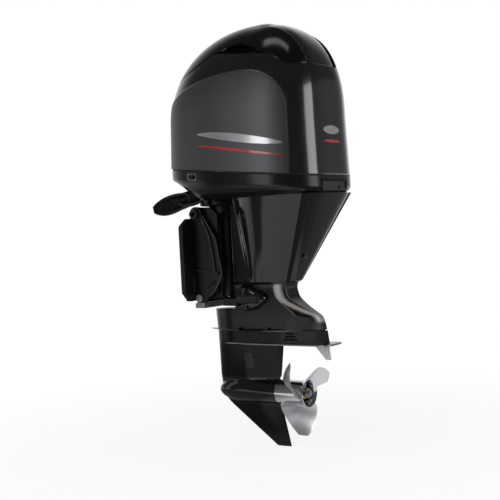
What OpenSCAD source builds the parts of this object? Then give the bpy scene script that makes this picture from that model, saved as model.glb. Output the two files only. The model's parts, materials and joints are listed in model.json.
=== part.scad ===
// Outboard motor, 20-inch shaft, in millimetres.
// X points aft, Y to starboard, Z up; the origin lies midway between the
// two upper transom bolts on the clamp face.

/* [Transom mount] */
// spacing of the two upper transom bolts
bolt_span = 327; // [300:1:350]
// radius of a transom bolt hole
bolt_hole_r = 6.5; // [5:0.5:8]
// spacing of the two lower transom slots
slot_span = 251; // [240:1:280]
// drop from the upper bolts to the middle of the lower slots
slot_drop = 203; // [190:1:215]
// transom seat above the upper bolts
seat_rise = 67; // [60:1:80]
// thickness of the clamp flange
flange_t = 19; // [14:1:24]
// inner face of each clamp web
web_y = 96; // [92:1:100]
// thickness of a clamp web
web_t = 12; // [8:1:15]
// height of the tilt axis
tilt_z = 62; // [56:1:66]
// distance of the tilt axis from the clamp face
tilt_x = 32; // [30:1:36]
// outside radius of the tilt tube
tilt_r = 13; // [10:0.5:15]

/* [Steering] */
// distance of the steering axis from the clamp face
steer_x = 95; // [92:1:100]
// radius of the pilot shaft
pilot_r = 16; // [13:0.5:18]
// outside radius of the swivel tube
swivel_r = 31; // [28:0.5:33]
// half width of the lower mount centres
mount_y = 84; // [80:1:90]
// radius of a lower rubber mount
mount_r = 20; // [16:0.5:23]

/* [Power tilt] */
// radius of the tilt cylinder
ram_r = 21; // [18:0.5:23]
// radius of the tilt rod
rod_r = 10; // [7:0.5:12]
// reach of the rod eye from the tilt axis
ram_arm = 70; // [66:1:74]

/* [Cowl] */
// top of the cowl above the upper bolts
cowl_top = 755; // [735:1:790]
// foremost point of the cowl
cowl_front = -118; // [-135:1:-105]
// rear face of the cowl
cowl_rear = 596; // [580:1:620]
// greatest half width of the cowl
cowl_half = 235; // [225:1:250]
// wall of the cowl and the tray
cowl_t = 5; // [3:0.5:7]
// height of the cowl seam above the clamp face
seam_z = 235; // [228:1:245]
// underside of the tray
tray_z = 112; // [110:1:118]

/* [Leg] */
// transom seat to the anti-ventilation plate
shaft_len = 507; // [490:1:530]
// half width of the leg column
leg_half = 56; // [50:1:58]
// distance of the drive shaft from the clamp face
drive_x = 190; // [186:1:196]
// radius of the drive shaft
drive_r = 10; // [8:0.5:12]

/* [Gearcase and propeller] */
// propeller axis below the anti-ventilation plate
prop_drop = 185; // [178:1:195]
// radius of the gearcase torpedo
torpedo_r = 47; // [45:0.5:50]
// skeg tip below the propeller axis
skeg_drop = 206; // [190:1:220]
// propeller radius
prop_r = 156; // [140:1:165]
// propeller pitch
prop_pitch = 430; // [360:5:500]
// length of the propeller hub
hub_len = 130; // [120:1:145]
// radius of the propeller shaft
shaft_r = 11; // [9:0.5:12]

/* [Engine] */
// cylinder spacing
bore_pitch = 88; // [80:1:92]
// radius of the flywheel
fly_r = 122; // [105:1:130]
// crank throw
throw_r = 38; // [32:1:40]

/* [Hidden] */
$fn = 48;
gap = 0.3;
fit = 0.08;
eps = 0.5;
far = cowl_top + shaft_len;

plate_z = seat_rise - shaft_len;
axis_z = plate_z - prop_drop;
joint_z = plate_z + 50;
skeg_z = axis_z - skeg_drop;
splash_t = 3;
plate_t = 7;

ear_r = tilt_r + 15;
pin_z = -262;
pin_x = tilt_x;
pin_r = 8;
eye_z = tilt_z - ram_arm;
slot_r = 20;

mount_z = -265;
yoke_z = -292;
yoke_t = 28;
swivel_top = tilt_z - 4;
swivel_low = yoke_z + yoke_t + 3;

leg_front = 135;
leg_rear = 384;
apron_z = -205;
case_top = tray_z - 20;
guide_top = tray_z + 16;
shift_x = drive_x - 42;
shift_r = 5;
shaft_room = 6;

cowl_mid = 315;
seam_slope = -0.101;
shoulder_z = 400;
cap_t = 4;
cap_room = 3;
cols = 60;

gear_teeth = 28;
pinion_teeth = 13;
gear_r = torpedo_r - 11;
cavity_r = torpedo_r - 7;
pinion_r = gear_r * pinion_teeth / gear_teeth;
gear_m = 2 * gear_r / gear_teeth;
cone_r = sqrt(gear_r * gear_r + pinion_r * pinion_r);
face_w = 0.3 * cone_r;
carrier_x = drive_x + 34;
hub_x = 310;
prop_nut_x = hub_x + hub_len - 22;

deck_z = guide_top;
block_h = 4 * bore_pitch + 20;
spline_len = 40;
block_top = deck_z + block_h;
crank_gap = throw_r + 28;

// eased step from 0 to 1
function ease(t) = let (c = max(0, min(1, t))) c * c * (3 - 2 * c);
function mix(a, b, t) = a + (b - a) * t;

// radius of a superellipse at angle u
function oval(u, a, b, e) = pow(pow(abs(cos(u)) / a, e) + pow(abs(sin(u)) / b, e), -1 / e);
function soft_min(a, b, c, k) = pow(pow(a, -k) + pow(b, -k) + pow(c, -k), -1 / k);

// side faces of a skin over r rings of n points, rings listed upwards and counterclockwise
function sides(r, n) = [for (i = [0 : r - 2], j = [0 : n - 1])
    let (k = i + 1, l = (j + 1) % n)
    each [[i * n + j, k * n + l, i * n + l], [i * n + j, k * n + j, k * n + l]]];
function strip(o, n, up) = [for (i = [0 : n / 2 - 2])
    let (p = o + i, q = o + i + 1, s = o + n - 2 - i, t = o + n - 1 - i)
    each (up ? [[p, s, q], [p, t, s]] : [[p, q, s], [p, s, t]])];

// solid skin over rings whose point j faces point n - 1 - j
module skin(rings) {
    n = len(rings[0]);
    r = len(rings);
    polyhedron([for (g = rings) each g],
        concat(sides(r, n), strip(0, n, false), strip((r - 1) * n, n, true)));
}

// solid skin over rings closed by one pole at each end
module bowl(rings, first, last) {
    n = len(rings[0]);
    r = len(rings);
    a = r * n;
    polyhedron(concat([for (g = rings) each g], [first, last]), concat(sides(r, n),
        [for (j = [0 : n - 1]) [a, j, (j + 1) % n]],
        [for (j = [0 : n - 1]) [(r - 1) * n + j, a + 1, (r - 1) * n + (j + 1) % n]]));
}

// closed skin over rings, the last ring joining the first
module hoop(rings) {
    n = len(rings[0]);
    r = len(rings);
    polyhedron([for (g = rings) each g], concat(sides(r, n),
        [for (j = [0 : n - 1]) each [[(r - 1) * n + j, (j + 1) % n, (r - 1) * n + (j + 1) % n],
            [(r - 1) * n + j, j, (j + 1) % n]]]));
}

// streamlined section: elliptic nose, parallel side, tapered tail
function chord_w(x, a, b, w, nose, tail, end) =
    x < a + nose ? w * sqrt(max(0.0009, 1 - pow(1 - (x - a) / nose, 2))) :
    x > b - tail ? mix(w, end, ease((x - b + tail) / tail)) : w;
stations = 14;
function chord_x(i, a, b) = a + (b - a) * (1 - cos(180 * i / stations)) / 2;
function foil(s) = let (z = s[0], a = s[1], b = s[2])
    concat([for (i = [0 : stations]) let (x = chord_x(i, a, b))
            [x, -chord_w(x, a, b, s[3], s[4], s[5], s[6]), z]],
        [for (i = [stations : -1 : 0]) let (x = chord_x(i, a, b))
            [x, chord_w(x, a, b, s[3], s[4], s[5], s[6]), z]]);

module along_x(x, y, z, l, r) {
    translate([x, y, z]) rotate([0, 90, 0]) cylinder(h = l, r = r);
}
module along_y(x, y, z, l, r) {
    translate([x, y, z]) rotate([-90, 0, 0]) cylinder(h = l, r = r);
}
module post(x, y, z, l, r) {
    translate([x, y, z]) cylinder(h = l, r = r);
}
module box(x0, x1, y0, y1, z0, z1) {
    translate([x0, y0, z0]) cube([x1 - x0, y1 - y0, z1 - z0]);
}
module both() {
    children();
    mirror([0, 1, 0]) children();
}
// plate of an x,z outline standing from y to y + t
module side_plate(pts, y, t) {
    translate([0, y + t, 0]) rotate([90, 0, 0]) linear_extrude(t) polygon(pts);
}
// plate of a y,z outline standing from x to x + t
module front_plate(pts, x, t) {
    translate([x, 0, 0]) rotate([90, 0, 90]) linear_extrude(t) polygon(pts);
}

// transom bracket
flange_y = bolt_span / 2 + 17;
slot_y = slot_span / 2;
slot_h = 58;
web_pts = [[0, tilt_z - 14], [0, -252], [18, -280], [54, -280], [80, -252], [112, -220], [139, -166],
    [130, -110], [118, -39], [84, 18], [tilt_x + ear_r, tilt_z - 6], [tilt_x + ear_r - 8, tilt_z + 2]];
// outlines of the ribs on the outside of a web: a shelf, a long curved rib and a short one
web_ribs = [[[flange_t - eps, -146], [flange_t - eps, -156], [130, -172], [132, -162]],
    [[54, 44], [64, 44], [90, -8], [103, -60], [111, -110], [117, -162], [110, -162], [104, -110],
        [96, -60], [83, -10]],
    [[70, -210], [72, -219], [106, -204], [104, -195]]];
rib_h = 7.5;
flange_low = -270;
pin_head_r = 15;
flange_pts = [[web_y, 46], [flange_y - 40, 46], [flange_y - 6, 22], [flange_y, 14],
    [flange_y, flange_low + 34], [flange_y - 30, flange_low], [web_y, flange_low]];
module clamp_half() {
    difference() {
        union() {
            side_plate(web_pts, web_y, web_t);
            along_y(tilt_x, web_y, tilt_z, web_t + 6, ear_r);
            front_plate(flange_pts, 0, flange_t);
            for (r = web_ribs)
                side_plate(r, web_y + web_t - eps, rib_h + eps);
            along_y(pin_x, web_y, pin_z, web_t + 3, 18);
        }
        along_y(tilt_x, web_y - 1, tilt_z, far, tilt_r + gap);
        along_y(pin_x, web_y - 1, pin_z, far, pin_r + gap);
        along_y(pin_x, web_y + web_t + 3, pin_z, far, pin_head_r + 1.5);
        along_x(-1, bolt_span / 2, 0, far, bolt_hole_r);
        for (s = [0, 1])
            along_x(-1, slot_y, -slot_drop - slot_h / 2 + s * slot_h, flange_t + 2, bolt_hole_r);
        box(-1, flange_t + 1, slot_y - bolt_hole_r, slot_y + bolt_hole_r,
            -slot_drop - slot_h / 2, -slot_drop + slot_h / 2);
    }
}

module clamp_bracket_starboard() {
    color("#17181a") clamp_half();
}
module clamp_bracket_port() {
    color("#17181a") mirror([0, 1, 0]) clamp_half();
}

tube_end = web_y + web_t + 6;
module tilt_tube() {
    color("#8d9094") difference() {
        along_y(tilt_x, -tube_end - 16, tilt_z, 2 * tube_end + 32, tilt_r);
        along_y(tilt_x, -far, tilt_z, 2 * far, tilt_r - 4);
    }
}
module tilt_tube_nuts() {
    color("#8d9094") both() difference() {
        translate([tilt_x, tube_end + gap, tilt_z]) rotate([-90, 0, 0])
            cylinder(h = 14, r = tilt_r + 8, $fn = 6);
        along_y(tilt_x, 0, tilt_z, far, tilt_r);
    }
}
module ptt_pin() {
    color("#a9acb0") {
        along_y(pin_x, -web_y - web_t - 3 - gap, pin_z, 2 * (web_y + web_t + 3 + gap), pin_r);
        both() along_y(pin_x, web_y + web_t + 3 + gap, pin_z, 7, pin_head_r);
    }
}
module bracket_anode() {
    color("#9da1a3") difference() {
        box(6, 50, -web_y - web_t, web_y + web_t, -300, -280 - gap);
        for (s = [-1, 1])
            along_x(0, s * 60, -291, 60, 5);
    }
}

// swivel bracket carried by the tilt tube
cheek_y = ram_r + 5;
cheek_t = 13;
bush_t = 4;
swivel_skirt = -190;
module swivel_bracket() {
    color("#1b1c1e") difference() {
        union() {
            along_y(tilt_x, -web_y + 1, tilt_z, 2 * web_y - 2, tilt_r + 11);
            post(steer_x, 0, swivel_low, swivel_top - swivel_low, swivel_r);
            both() side_plate([[tilt_x - 16, tilt_z], [tilt_x - 16, eye_z - 22], [steer_x - 34, eye_z - 60],
                [steer_x, -150], [steer_x, tilt_z - 8], [tilt_x, tilt_z + 8]], cheek_y, cheek_t);
            both() side_plate([[tilt_x, tilt_z + 26], [tilt_x, tilt_z - 10], [tilt_x + 20, -40],
                [tilt_x + 28, swivel_skirt], [steer_x + 18, swivel_skirt], [steer_x + 18, swivel_top],
                [steer_x - 15, tilt_z + 24]], web_y - 24, 12);
            both() box(steer_x - 14, steer_x + 18, cheek_y + cheek_t - eps, web_y - 24 + eps,
                swivel_top - 18, swivel_top);
        }
        along_y(tilt_x, -far, tilt_z, 2 * far, tilt_r + fit);
        post(steer_x, 0, -far, 2 * far, pilot_r + bush_t + fit);
        along_y(tilt_x, -cheek_y - cheek_t - 1, eye_z, 2 * (cheek_y + cheek_t + 1), slot_r);
        box(-40, steer_x - swivel_r + 4, -cheek_y, cheek_y, -far, tilt_z - tilt_r - 12);
    }
}
module swivel_bushes() {
    color("#c9c7bb") for (z = [swivel_low, swivel_top - 60]) difference() {
        post(steer_x, 0, z, 60, pilot_r + bush_t);
        post(steer_x, 0, z - 1, 62, pilot_r + fit);
    }
}

// power tilt unit, hung on the lower pin
ram_len = 150;
module ptt_cylinder() {
    color("#26282a") difference() {
        union() {
            post(pin_x, 0, pin_z + 14, ram_len, ram_r);
            along_y(pin_x, -web_y + 4, pin_z, 2 * web_y - 8, pin_r + 9);
            box(pin_x - 18, pin_x + 18, -64, 64, pin_z, pin_z + 34);
        }
        along_y(pin_x, -far, pin_z, 2 * far, pin_r + fit);
        post(pin_x, 0, pin_z + 50, far, rod_r + fit);
    }
}
module ptt_motor() {
    color("#1f2022") {
        post(pin_x, -46, pin_z + 34, 88, 19);
        post(pin_x, -46, pin_z + 122, 6, 15);
    }
}
module ptt_reservoir() {
    color("#2d2f31") {
        post(pin_x, 46, pin_z + 34, 74, 18);
        post(pin_x, 46, pin_z + 108, 8, 9);
    }
}
rod_eye = 17;
module tilt_rod() {
    color("#c3c6c9") difference() {
        union() {
            post(tilt_x, 0, pin_z + 60, eye_z - pin_z - 66, rod_r);
            along_y(tilt_x, -cheek_y + 5, eye_z, 2 * cheek_y - 10, rod_eye);
        }
        along_y(tilt_x, -far, eye_z, 2 * far, pin_r);
    }
}
module tilt_rod_pin() {
    color("#a9acb0") along_y(tilt_x, -cheek_y - cheek_t, eye_z, 2 * (cheek_y + cheek_t), pin_r);
}

// steering parts
module pilot_shaft() {
    color("#6c6f73") post(steer_x, 0, yoke_z, yoke_top + yoke_h - yoke_z, pilot_r);
}
yoke_top = swivel_top + gap;
arm_end = 128;
arm_t = 26;
rest_y = 28;
rest_r = 13;
yoke_h = tilt_z + tilt_r + 27 - yoke_top;
arm_z = tilt_z + tilt_r + 15;
steer_arm = [[8, 14], [steer_x - 35, 60], [steer_x + 4, 60]];
module steering_yoke() {
    color("#1c1d1f") difference() {
        union() {
            post(steer_x, 0, yoke_top, yoke_h, pilot_r + 6);
            post(steer_x, 0, yoke_top, arm_t, swivel_r - 2);
            translate([0, 0, yoke_top]) linear_extrude(arm_t)
                polygon([[steer_x, -26], [arm_end, -44], [arm_end, 44], [steer_x, 26]]);
            translate([0, 0, arm_z]) linear_extrude(tray_z - arm_z - 4) mirrored(steer_arm, 0);
        }
        post(steer_x, 0, 0, far, pilot_r);
        post(22, 0, 0, far, 6);
    }
}
module lower_yoke() {
    color("#1c1d1f") difference() {
        union() {
            post(steer_x, 0, yoke_z, yoke_t, swivel_r - 1);
            translate([0, 0, yoke_z]) linear_extrude(yoke_t) both()
                polygon([[steer_x - 14, 0], [steer_x - 8, 26], [126, mount_y + 6],
                    [200, mount_y + mount_r - 2], [200, mount_y - mount_r + 3],
                    [150, leg_half + 5], [124, leg_half], [112, 0]]);
        }
        post(steer_x, 0, yoke_z - 1, far, pilot_r);
    }
}
module upper_mounts() {
    color("#202123") both()
        along_x(arm_end + gap, rest_y, yoke_top + arm_t / 2, leg_front + 23 - arm_end, rest_r);
}
module lower_mounts() {
    color("#2a2b2d") both() {
        along_x(200 + gap, mount_y, mount_z, 88, mount_r);
        along_x(288 + gap, mount_y, mount_z, 6, mount_r - 5);
    }
}
cover_pts = [[204, mount_z + 50], [252, mount_z + 47], [290, mount_z + 28],
    [312, mount_z + 4], [306, mount_z - 12], [280, mount_z - 34], [244, mount_z - 48], [204, mount_z - 46]];
cover_bolts = [[233, mount_z + 33], [237, mount_z - 34]];
pad_y = leg_half + 5;
module lower_mount_covers() {
    color("#1a1b1d") both() difference() {
        side_plate(cover_pts, pad_y, mount_y - pad_y + 10);
        along_x(180, mount_y, mount_z, 115, mount_r + gap);
        for (b = cover_bolts)
            along_y(b[0], 0, b[1], far, 5);
    }
}
module lower_mount_bolts() {
    color("#b4b7ba") both() for (b = cover_bolts) {
        along_y(b[0], pad_y, b[1], mount_y - pad_y + 10, 5);
        translate([b[0], mount_y + 10, b[1]]) rotate([-90, 0, 0]) cylinder(h = 6, r = 9, $fn = 6);
    }
}

// leg
ledge_z = -307;
function below_ledge(share) = mix(joint_z + splash_t, ledge_z - 2, share);
leg_steps = [[below_ledge(0), 32, 524, 50, 110, 150, 10], [below_ledge(22 / 78), 31, 519, 51, 110, 135, 11],
    [below_ledge(42 / 78), 30, 512, 52, 110, 110, 12], [below_ledge(53 / 78), 29, 505, 53, 110, 80, 12],
    [below_ledge(65 / 78), 29, 481, 54, 110, 65, 16],
    [ledge_z - 2, 28, 457, leg_half, 110, 56, 22], [ledge_z, leg_front, 453, leg_half, 30, 56, 22],
    [-280, leg_front, 410, leg_half, 30, 50, 33], [-264, leg_front, 394, leg_half + 1, 30, 48, 36],
    [-232, leg_front, 385, leg_half + 2, 30, 46, 37], [-214, leg_front, 387, leg_half + 4, 30, 48, 40],
    [apron_z - gap, leg_front, 405, 72, 160, 90, 44],
    [apron_z - gap / 2, leg_front, leg_rear, leg_half, 30, 60, 40],
    [case_top, leg_front, leg_rear, leg_half, 30, 60, 40]];
pump_r = 34;
pump_h = 46;
module upper_case() {
    color("#191a1c") difference() {
        union() {
            skin([for (s = leg_steps) foil(s)]);
            both() box(206, 288, leg_half - 8, pad_y, mount_z - 44, mount_z + 44);
        }
        post(drive_x, 0, -far, 2 * far, drive_r + shaft_room);
        post(shift_x, 0, -far, 2 * far, shift_r + 1);
        post(drive_x, 0, joint_z, splash_t + pump_h + 4, pump_r + gap);
        box(drive_x + 50, leg_rear - 30, -36, 36, joint_z, case_top + 1);
        both() along_x(leg_front - 35, rest_y, yoke_top + arm_t / 2, 58 + 2 * gap, rest_r + gap);
        both() along_x(190, mount_y, mount_z, 106, mount_r + gap);
    }
}
guide_pts = [[120, 50], [190, 58], [236, 92], [300, 116], [468, 116], [490, 98]];
module mirrored(pts, d) {
    polygon(concat([for (p = pts) [p[0], p[1] - d]],
        [for (i = [len(pts) - 1 : -1 : 0]) [pts[i][0], d - pts[i][1]]]));
}
module exhaust_guide() {
    color("#7d8084") difference() {
        union() {
            translate([0, 0, case_top]) linear_extrude(tray_z - case_top) mirrored(guide_pts, 0);
            translate([12, 0, case_top]) linear_extrude(guide_top - case_top)
                scale(0.97) mirrored(guide_pts, 17);
        }
        post(drive_x, 0, 0, far, drive_r + 6);
        post(shift_x, 0, 0, case_top + 15, shift_r + 1);
        box(0, shift_x, -20, 20, case_top + 3, case_top + 15);
        box(drive_x + 50, leg_rear - 30, -36, 36, 0, far);
    }
}

// apron: three panels under the tray
apron_t = 4;
apron_h = tray_z - gap - apron_z;
side_lo = [[238, 67], [275, 75], [320, 76], [368, 65], [405, 44]];
side_hi = [[186, 80], [250, 128], [340, 158], [470, 164], [576, 143]];
side_bulge = [0.16, 0.16, 0.16, 0.08, 0];
function apron_pt(i, t, off) = let (p = mix(side_lo[i], side_hi[i], t + side_bulge[i] * t * (1 - t)))
    [p[0], p[1] + off];
apron_rows = 8;
function apron_ring(t) = let (z = apron_z + apron_h * t)
    concat([for (i = [0 : 4]) let (p = apron_pt(i, t, -apron_t)) [p[0], p[1], z]],
        [for (i = [4 : -1 : 0]) let (p = apron_pt(i, t, 0)) [p[0], p[1], z]]);
module apron_side() {
    skin([for (k = [0 : apron_rows]) apron_ring(k / apron_rows)]);
}
module apron_starboard() {
    color("#1a1b1d") apron_side();
}
module apron_port() {
    color("#1a1b1d") mirror([0, 1, 0]) apron_side();
}
function spine_ring(t) = let (z = apron_z + apron_h * t, p = apron_pt(4, t, -apron_t - gap), b = 7)
    [[p[0] - 4, -p[1], z], [p[0] + b, -p[1] * 0.86, z], [p[0] + b + 3, 0, z], [p[0] + b, p[1] * 0.86, z],
        [p[0] - 4, p[1], z], [p[0] - 8, p[1] - 1, z], [p[0] + b - apron_t, p[1] * 0.86 - 3, z],
        [p[0] + b - 1 - apron_t, 0, z], [p[0] + b - apron_t, 3 - p[1] * 0.86, z], [p[0] - 8, 1 - p[1], z]];
telltale_z = -118;
telltale_p = apron_pt(4, (telltale_z - apron_z) / apron_h, 0);
module apron_rear() {
    color("#1b1c1e") difference() {
        skin([for (k = [0 : apron_rows]) spine_ring(k / apron_rows)]);
        along_x(telltale_p[0] - 40, -28, telltale_z, 100, 7);
    }
}
module telltale() {
    color("#2b2d2f") difference() {
        union() {
            along_x(telltale_p[0] - 16, -28, telltale_z, 34, 7 - fit);
            along_x(telltale_p[0] + 15, -28, telltale_z, 5, 9);
        }
        along_x(telltale_p[0] - 30, -28, telltale_z, 60, 3);
    }
}

// cowl surfaces
rear_len = cowl_rear - cowl_mid;
front_len = cowl_mid - cowl_front;
function plan(u) = let (c = cos(u), d = 0.9 * c + 0.435 * abs(sin(u)),
        s = c >= 0 ? oval(u, rear_len * 1.05, cowl_half, 2.9) : oval(u, front_len, cowl_half, 2.1))
    c <= 0 ? s : soft_min(s, (rear_len * 0.9 + 47) / max(d, 0.01), rear_len / max(c, 0.01), 40);
function seam(x) = seam_z + seam_slope * x;
function arc_e(u) = 2.1 + 0.6 * pow(max(0, cos(u)), 3);
draft = 7;
// point of the cowl at azimuth u, height t (0 seam, 1 shoulder, 2 crown), set out by off
function cowl_pt(u, t, off) = let (a = max(0, t - 1) * 90, e = 2 / arc_e(u),
        r = (plan(u) + off - draft * min(1, t)) * pow(max(0, cos(a)), e),
        x = cowl_mid + r * cos(u))
    [x, r * sin(u), t <= 1 ? mix(seam(x), shoulder_z, t)
        : shoulder_z + (cowl_top - shoulder_z + off) * pow(sin(a), e)];
// lower edge of the top cap by angle w from the stern, and the lift over the air inlets
cap_edge = [[0, 570], [40, 571], [52, 612], [110, 640], [125, 646], [150, 590], [180, 520]];
cap_lift = [[52, 0], [60, 18], [85, 40], [108, 28], [124, 0]];
function stern_angle(u) = u > 180 ? 360 - u : u;
function rise_t(u, z) = 1 + asin(min(1, pow((z - shoulder_z) / (cowl_top - shoulder_z), arc_e(u) / 2))) / 90;
function edge_z(u) = cowl_top - 755 + lookup(stern_angle(u), cap_edge);
function lift_z(u) = lookup(stern_angle(u), cap_lift);
function azimuths() = [for (j = [0 : cols - 1]) 360 * j / cols];
function cowl_ring(t, off) = [for (u = azimuths()) cowl_pt(u, t, off)];
crown = 1.93;
function wall_ring(k, off) = [for (u = azimuths()) cowl_pt(u, mix(1, rise_t(u, edge_z(u)), k), off)];
// dome under the cap, sunk under the air inlets
function dome_ring(k) = [for (u = azimuths())
    cowl_pt(u, mix(rise_t(u, edge_z(u)), crown, k), -cap_t - cap_room - 0.5 * lift_z(u) * (1 - k))];
function dome_inner(k) = [for (u = azimuths())
    cowl_pt(u, mix(rise_t(u, edge_z(u)), crown, k), -cap_t - cap_room - cowl_t - 0.5 * lift_z(u) * (1 - k))];
module top_cowl() {
    sink = cap_t + cap_room;
    color("#232629") bowl(concat([for (k = [1 : -0.25 : 0.25]) dome_inner(k)],
        [for (k = [0.95, 0.5, 0]) wall_ring(k, -cowl_t - sink * k - 12 * k)],
        [cowl_ring(0.5, -cowl_t), cowl_ring(0, -cowl_t), cowl_ring(0, 0), cowl_ring(0.5, 0)],
        [for (k = [0, 0.34, 0.67, 1]) wall_ring(k, 0)],
        [for (k = [0.0, 0.25, 0.5, 0.75, 1]) dome_ring(k)]),
        [cowl_mid, 0, cowl_top - cowl_t - sink], [cowl_mid, 0, cowl_top - sink]);
}
function cap_low(u) = rise_t(u, edge_z(u) + gap + lift_z(u));
function cap_ring(k, off) = [for (u = azimuths()) cowl_pt(u, mix(cap_low(u), crown, k), off)];
module cowl_cap() {
    color("#0d0e10") bowl(concat([for (k = [1 : -0.25 : 0]) cap_ring(k, -cap_t)],
        [for (k = [0 : 0.2 : 1]) cap_ring(k, 0)]),
        [cowl_mid, 0, cowl_top - cap_t], [cowl_mid, 0, cowl_top]);
}

// tray under the cowl
seal_t = 3;
tray_rise = 70;
floor_t = 5;
function tray_under(x) = tray_z + tray_rise * ease((120 - x) / 180);
function sole(u) = cos(u) >= 0 ? oval(u, rear_len - 16, 172, 4) : oval(u, front_len - 70, 172, 2.4);
function at(u, r, z) = [cowl_mid + r * cos(u), r * sin(u), z];
function lip_ring(off, drop) = [for (u = azimuths()) let (r = plan(u) + off)
    at(u, r, seam(cowl_mid + r * cos(u)) - seal_t - gap - drop)];
function sole_ring(k, off, up) = [for (u = azimuths()) let (r = k * (sole(u) + off))
    at(u, r, tray_under(cowl_mid + r * cos(u)) + up)];
function chine_ring(off, up) = [for (u = azimuths())
    let (r = mix(sole(u), plan(u), 0.85) + off, x = cowl_mid + r * cos(u))
    at(u, r, mix(tray_under(x), seam(x), 0.3) + up)];
latch_w = 150;
latch_h = 34;
latch_z = 136;
latch_x = cowl_rear - 15;
grommet = [10, -64];
lead = [62, -100];
module tray() {
    color("#1d1f21") difference() {
        union() {
            bowl(concat([for (k = [0.4, 0.6, 0.8, 1]) sole_ring(k, 0, 0)],
                [chine_ring(0, 0), lip_ring(0, 34), lip_ring(0, 0), lip_ring(-cowl_t, 0),
                    lip_ring(-cowl_t, 30), chine_ring(-cowl_t, 4)],
                [for (k = [0.95, 0.8, 0.6, 0.4]) sole_ring(k, 0, floor_t)]),
                [cowl_mid, 0, tray_z], [cowl_mid, 0, tray_z + floor_t]);
            box(latch_x - 16, cowl_rear - 3, -latch_w / 2 - 8, latch_w / 2 + 8, latch_z - latch_h / 2 - 4,
                latch_z + latch_h / 2 + 8);
            post(grommet[0], grommet[1], 158, 32, sleeve_r[0] + 6);
            post(lead[0], lead[1], 127, 22, cable_r + 5);
        }
        translate([12, 0, 0]) linear_extrude(far) scale(0.97) mirrored(guide_pts, 16);
        box(latch_x - 4, cowl_rear + 20, -latch_w / 2 - 0.5, latch_w / 2 + 0.5, latch_z - latch_h / 2 - 1,
            latch_z + latch_h / 2 + 2.5);
        post(grommet[0], grommet[1], 0, far, sleeve_r[0] + gap);
        post(grommet[0] - 2, grommet[1] - 2, 0, 164, sleeve_r[0] + 4);
        post(lead[0], lead[1], 0, far, cable_r + gap);
        post(lead[0] - 1, lead[1], 0, 132, cable_r + 2);
        switch_well();
    }
}
switch_u = 224;
switch_w = 28;
switch_r = 7;
switch_at = at(switch_u, plan(switch_u), 0);
switch_turn = switch_u - 8;
switch_z = seam(switch_at[0]) - 26;
module switch_well() {
    translate([switch_at[0], switch_at[1], switch_z]) rotate([0, 0, switch_turn])
        box(-12, 12, -switch_w / 2 - gap, switch_w / 2 + gap, -switch_r - gap, switch_r + gap);
}
module tilt_switch() {
    color("#101113") translate([switch_at[0], switch_at[1], switch_z]) rotate([0, 0, switch_turn])
        difference() {
            along_y(0, -switch_w / 2, 0, switch_w, switch_r);
            box(-far, -4, -far, far, -far, far);
        }
}
module cowl_seal() {
    color("#131314") hoop([lip_ring(-cowl_t + 0.6, -gap), lip_ring(-0.6, -gap), lip_ring(-0.6, -seal_t),
        lip_ring(-cowl_t + 0.6, -seal_t)]);
}
latch_t = 9;
module cowl_latch() {
    color("#141517") difference() {
        union() {
            box(latch_x + 1, latch_x + 1 + latch_t, -latch_w / 2, latch_w / 2, latch_z - latch_h / 2,
                latch_z + latch_h / 2);
            along_y(latch_x + 5, -latch_w / 2, latch_z + latch_h / 2 - 5, latch_w, 5);
        }
        box(latch_x + 6, latch_x + 30, -40, 40, latch_z - 12, latch_z + 2);
    }
}

// rigging: moulded rubber sleeve and one cable, both fixed to the tray
sleeve_path = [[10, -64, 184], [10, -64, 160], [7, -66, 146], [-6, -74, 133], [-32, -91, 120],
    [-70, -117, 108], [-105, -141, 98], [-140, -165, 90]];
sleeve_r = [25, 25, 26, 28, 31, 34, 36, 36];
sleeve_n = 24;
sleeve_t = 6;
// the mouth is an oblique cut: a point of its upright plane and the plane's turn
mouth_at = [-159, -137];
mouth_turn = 11;
function unit(v) = v / norm(v);
function tangent(path, i) = unit(path[min(i + 1, len(path) - 1)] - path[max(i - 1, 0)]);
function ring_on(path, i, r) = let (t = tangent(path, i), a = unit(cross(t, [0, 1, 0])), b = cross(a, t))
    [for (j = [0 : sleeve_n - 1]) let (q = 360 * j / sleeve_n) path[i] + r * (cos(q) * a + sin(q) * b)];
module rigging_sleeve() {
    last = len(sleeve_path) - 1;
    color("#1a1a1b") difference() {
        hoop(concat([for (i = [0 : last]) ring_on(sleeve_path, i, sleeve_r[i])],
            [for (i = [last : -1 : 0]) ring_on(sleeve_path, i, sleeve_r[i] - sleeve_t)]));
        translate([mouth_at[0], mouth_at[1], 0]) rotate([0, 0, mouth_turn]) box(-60, 200, -far, 0, 0, far);
    }
}
cable_path = [[62, -100, 146], [62, -100, 126], [54, -104, 112], [34, -114, 102],
    [4, -122, 98], [-24, -122, 102], [-44, -115, 109], [-58, -107, 113]];
cable_r = 6;
// tube of radius r on the cable's path, which ends in the mouth of the sleeve
module cable_run(r) {
    last = len(cable_path) - 1;
    bowl([for (i = [0 : last]) ring_on(cable_path, i, r)], cable_path[0], cable_path[last]);
}
module rigging_cable() {
    color("#151516") cable_run(cable_r);
}

// splash plate between leg and gearcase
splash_front = -4;
splash_rear = 522;
splash_half = 74;
function leaf(n) = [for (i = [0 : n]) let (k = i / n)
    [mix(splash_front, splash_rear, k), max(eps, splash_half * pow(sin(180 * k), 0.85))]];
module splash_plate() {
    color("#18191b") translate([0, 0, joint_z]) difference() {
        linear_extrude(splash_t) mirrored(leaf(20), 0);
        post(drive_x, 0, -1, 20, drive_r + 6);
        post(shift_x, 0, -1, 20, shift_r + 1);
        box(drive_x + 50, 330, -12, 12, -1, 20);
    }
}

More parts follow.
